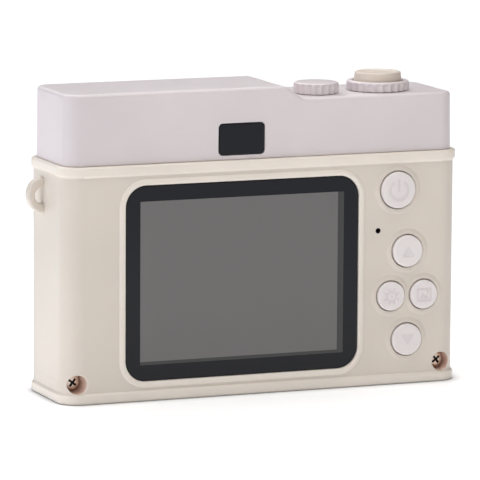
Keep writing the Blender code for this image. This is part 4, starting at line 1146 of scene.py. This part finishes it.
def make_lens():
    tip, face = LENS_TIP, FRONT
    section = [
        (LENS_NECK, face + WALL + 1.8, 0),
        (LENS_NECK, face - GAP, 0),
        (LENS_OUTER, face - GAP, 0.15),
        (LENS_OUTER, face - 2.2, 0.5),
        (LENS_OUTER - 1.3, face - 2.6, 0.25),
        (LENS_OUTER - 1.6, tip, 0.6),
        (LENS_BORE + 2.4, tip, 0.1),
        (LENS_BORE + 2.4, tip + 1.0, 0),
        (LENS_BORE, tip + 1.0, 0),
        (LENS_BORE, tip + 2.6, 0),
        (LENS_SEAT, tip + 2.6, 0),
    ]
    outside = rounded_path(section, 6)
    baffle = []
    stages = 4
    depths = [tip + 2.6 + depth for depth in steps_to(face + 0.4 - tip - 2.6, stages)]
    for i in range(stages):
        radius = LENS_SEAT - (LENS_SEAT - BAFFLE_END) * (i + 1) / stages
        baffle += [(radius, depths[i] + 0.15), (radius, depths[i + 1])]
    back = [(BAFFLE_END, face + 0.9), (LENS_SEAT, face + WALL), (LENS_SEAT + 2, face + WALL + 1.8)]
    levels = [(circle(radius, 120), -height) for radius, height in outside + baffle + back]
    place = on_front(LENS.x, LENS.z, 0)
    barrel = solid(loft(levels, ring=True), place)
    grooves = bmesh.new()
    outline = circle(0.28, 8, 0.05)
    ends = (3.1 - face, -tip - 1.5)
    for i in range(GRIP_GROOVES):
        turned_place = place @ Matrix.Rotation(math.tau * i / GRIP_GROOVES, 4, "Z") @ at(LENS_OUTER - 1.2, 0)
        rows = [[grooves.verts.new(turned_place @ Vector((u, v, h))) for u, v in outline] for h in ends]
        join_rows(grooves, rows)
    cut(barrel, solid(grooves))
    piece(barrel, "lens_body", "body", ["lens_barrel"], "body_plastic", [LILAC])

    section = [
        (LENS_BORE + 2.2, -(tip + 0.75), 0),
        (LENS_BORE + 2.2, -(tip + 0.1), 0.12),
        (LENS_BORE + 0.2, -(tip + 0.35), 0.12),
        (LENS_BORE + 0.2, -(tip + 0.75), 0),
    ]
    trim_path = rounded_path(section, 4)
    trim = solid(turned(trim_path, 120, ring=True), place)
    piece(trim, "lens_trim", "body", ["lens_trim_ring"], "sheet_steel", [TRIM_METAL])

    rim = LENS_BORE - 0.2
    element = LENS_BORE * 0.6
    dome = [(rim, -(tip + 2.3)), (rim, -(tip + 1.45)), (rim - 0.15, -(tip + 1.3))]
    dome += [(rim * 0.8, -(tip + 1.34)), (rim * 0.8 - 0.2, -(tip + 1.5))]
    dome += [(element + 0.35, -(tip + 1.54)), (element + 0.2, -(tip + 1.6)), (element, -(tip + 1.42))]
    for share in (0.95, 0.88, 0.78, 0.66, 0.52, 0.38, 0.24, 0.12, 0.02):
        dome.append((element * share, -(tip + 0.76 + 0.6 * share**2)))
    glass = solid(turned(dome, 96), place)
    for face in glass.data.polygons:
        reach = math.hypot(face.center.x - LENS.x, face.center.z - LENS.z)
        face.material_index = 0 if reach < element else 1
    piece(glass, "lens_window", "body", ["lens_cover"], "lens_glass", [LENS_GLASS, LENS_MASK])


def finish_cad_nodes():
    """Gives the inner parts, which stay as the CAD has them, a finish for their CAD material."""
    plastics = {"black_plastic": BLACK_PLASTIC, "flex_film": FLEX, "led_phosphor": PHOSPHOR}
    metals = {"battery_foil": BATTERY_FOIL, "screw_steel": SCREW_STEEL, "sheet_steel": SHEET_STEEL}
    finishes = plastics | metals | {"circuit_board": GREEN_BOARD, "lcd_glass": LCD_GLASS}
    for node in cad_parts.values():
        if node.hide_render:
            continue
        current = node.data.materials[0].name
        finish = next(finish for name, finish in finishes.items() if current.startswith(name))
        for slot in node.material_slots:
            slot.material = finish


# Studio: floor, lights, camera.

CAMERA_YAW = math.radians(22.124)
CAMERA_PITCH = math.radians(8.778)
CAMERA_ROLL = math.radians(0.35)
CAMERA_AT = Vector((0.39586, 0.97405, 0.1949))
CAMERA_LENS = 352.07
CONTACT_SHADOW_REACH = 0.0035
AIM_HEIGHT = 0.035


def make_camera():
    data = bpy.data.cameras.new("camera")
    data.lens = CAMERA_LENS
    data.sensor_width = 36.0
    data.clip_end = 20.0
    camera = bpy.data.objects.new("camera", data)
    SCENE.collection.objects.link(camera)
    level = math.cos(CAMERA_PITCH)
    look = Vector((-math.sin(CAMERA_YAW) * level, -math.cos(CAMERA_YAW) * level, -math.sin(CAMERA_PITCH)))
    turn = look.to_track_quat("-Z", "Y").to_matrix() @ Matrix.Rotation(CAMERA_ROLL, 3, "Z")
    camera.matrix_world = Matrix.Translation(CAMERA_AT) @ turn.to_4x4()
    SCENE.camera = camera


def make_floor():
    """A pale floor with a faint glow of its own, and a contact shadow painted by occlusion close under the
    object.
    """
    nodes = Nodes("floor_white")
    inputs = nodes.shader.inputs
    # Painted shadow: occlusion darkens the floor's colour and glow close under the object.
    contact = nodes.tree.nodes.new("ShaderNodeAmbientOcclusion")
    contact.inputs["Distance"].default_value = CONTACT_SHADOW_REACH
    nodes.spread(nodes.noise(3.0), (0.92, 0.92, 0.92), (0.95, 0.95, 0.95), contact.inputs["Color"])
    nodes.link(contact.outputs["Color"], inputs["Base Color"])
    nodes.link(contact.outputs["Color"], inputs["Emission Color"])
    inputs["Roughness"].default_value = 0.7
    inputs["Specular IOR Level"].default_value = 0.2
    inputs["Emission Strength"].default_value = 0.4
    bm = bmesh.new()
    bmesh.ops.create_grid(bm, x_segments=8, y_segments=8, size=6.0)
    mesh = bpy.data.meshes.new("floor")
    bm.to_mesh(mesh)
    bm.free()
    mesh.materials.append(nodes.material)
    floor = bpy.data.objects.new("floor", mesh)
    SCENE.collection.objects.link(floor)


def softbox(name, azimuth, elevation, distance, width, height, watts, colour):
    """An area light that faces the camera body. Azimuth runs from the rear's +Y towards +X."""
    data = bpy.data.lights.new(name, "AREA")
    data.shape = "RECTANGLE"
    data.size, data.size_y = width, height
    data.energy = watts
    data.color = colour
    light = bpy.data.objects.new(name, data)
    SCENE.collection.objects.link(light)
    a, e = math.radians(azimuth), math.radians(elevation)
    aim = Vector((0.0, 0.0, AIM_HEIGHT))
    out = Vector((math.sin(a) * math.cos(e), math.cos(a) * math.cos(e), math.sin(e)))
    light.location = aim + out * distance
    light.rotation_euler = (-out).to_track_quat("-Z", "Y").to_euler()


def make_world(colour):
    """A dark studio room with one soft glow, brightest towards +X."""
    world = bpy.data.worlds.new("studio")
    world.use_nodes = True
    tree = world.node_tree
    direction = tree.nodes.new("ShaderNodeTexCoord").outputs["Generated"]
    parts = tree.nodes.new("ShaderNodeSeparateXYZ")
    tree.links.new(direction, parts.inputs["Vector"])
    positive = tree.nodes.new("ShaderNodeMath")
    positive.operation = "MAXIMUM"
    positive.inputs[1].default_value = 0.0
    tree.links.new(parts.outputs["X"], positive.inputs[0])
    glow = tree.nodes.new("ShaderNodeVectorMath")
    glow.operation = "MULTIPLY"
    glow.inputs[1].default_value = colour
    tree.links.new(positive.outputs["Value"], glow.inputs[0])
    tree.links.new(glow.outputs["Vector"], tree.nodes["Background"].inputs["Color"])
    SCENE.world = world


def make_lights():
    softbox("side", 82, 8, 1.1, 0.8, 0.8, 1.6, (1.0, 0.98, 1.04))
    softbox("edge", 101, 12.4, 1.0, 0.12, 0.4, 0.78, (1.0, 1.0, 1.0))
    softbox("front", 0, 62, 0.28, 0.14, 0.14, 0.31, (1.04, 1.0, 0.95))
    softbox("low_front", -18, 3, 0.5, 0.2, 0.05, 0.04, (1.05, 1.0, 0.95))
    softbox("above", 180, 80, 1.2, 1.0, 1.0, 6.2, (1.0, 0.99, 1.02))
    softbox("behind", 180, 40, 1.3, 1.2, 0.6, 5.9, (0.99, 1.0, 1.0))
    make_world((0.47, 0.49, 0.54))
    SCENE.view_settings.view_transform = "Standard"


make_rear_shell()
make_front_shell()
make_housing()
make_screen()
make_small_windows()
make_keys()
make_small_dial()
make_shutter_ring()
make_shutter()
make_shutter_spring()
make_case_screws()
make_lens()
finish_cad_nodes()
make_camera()
make_floor()
make_lights()
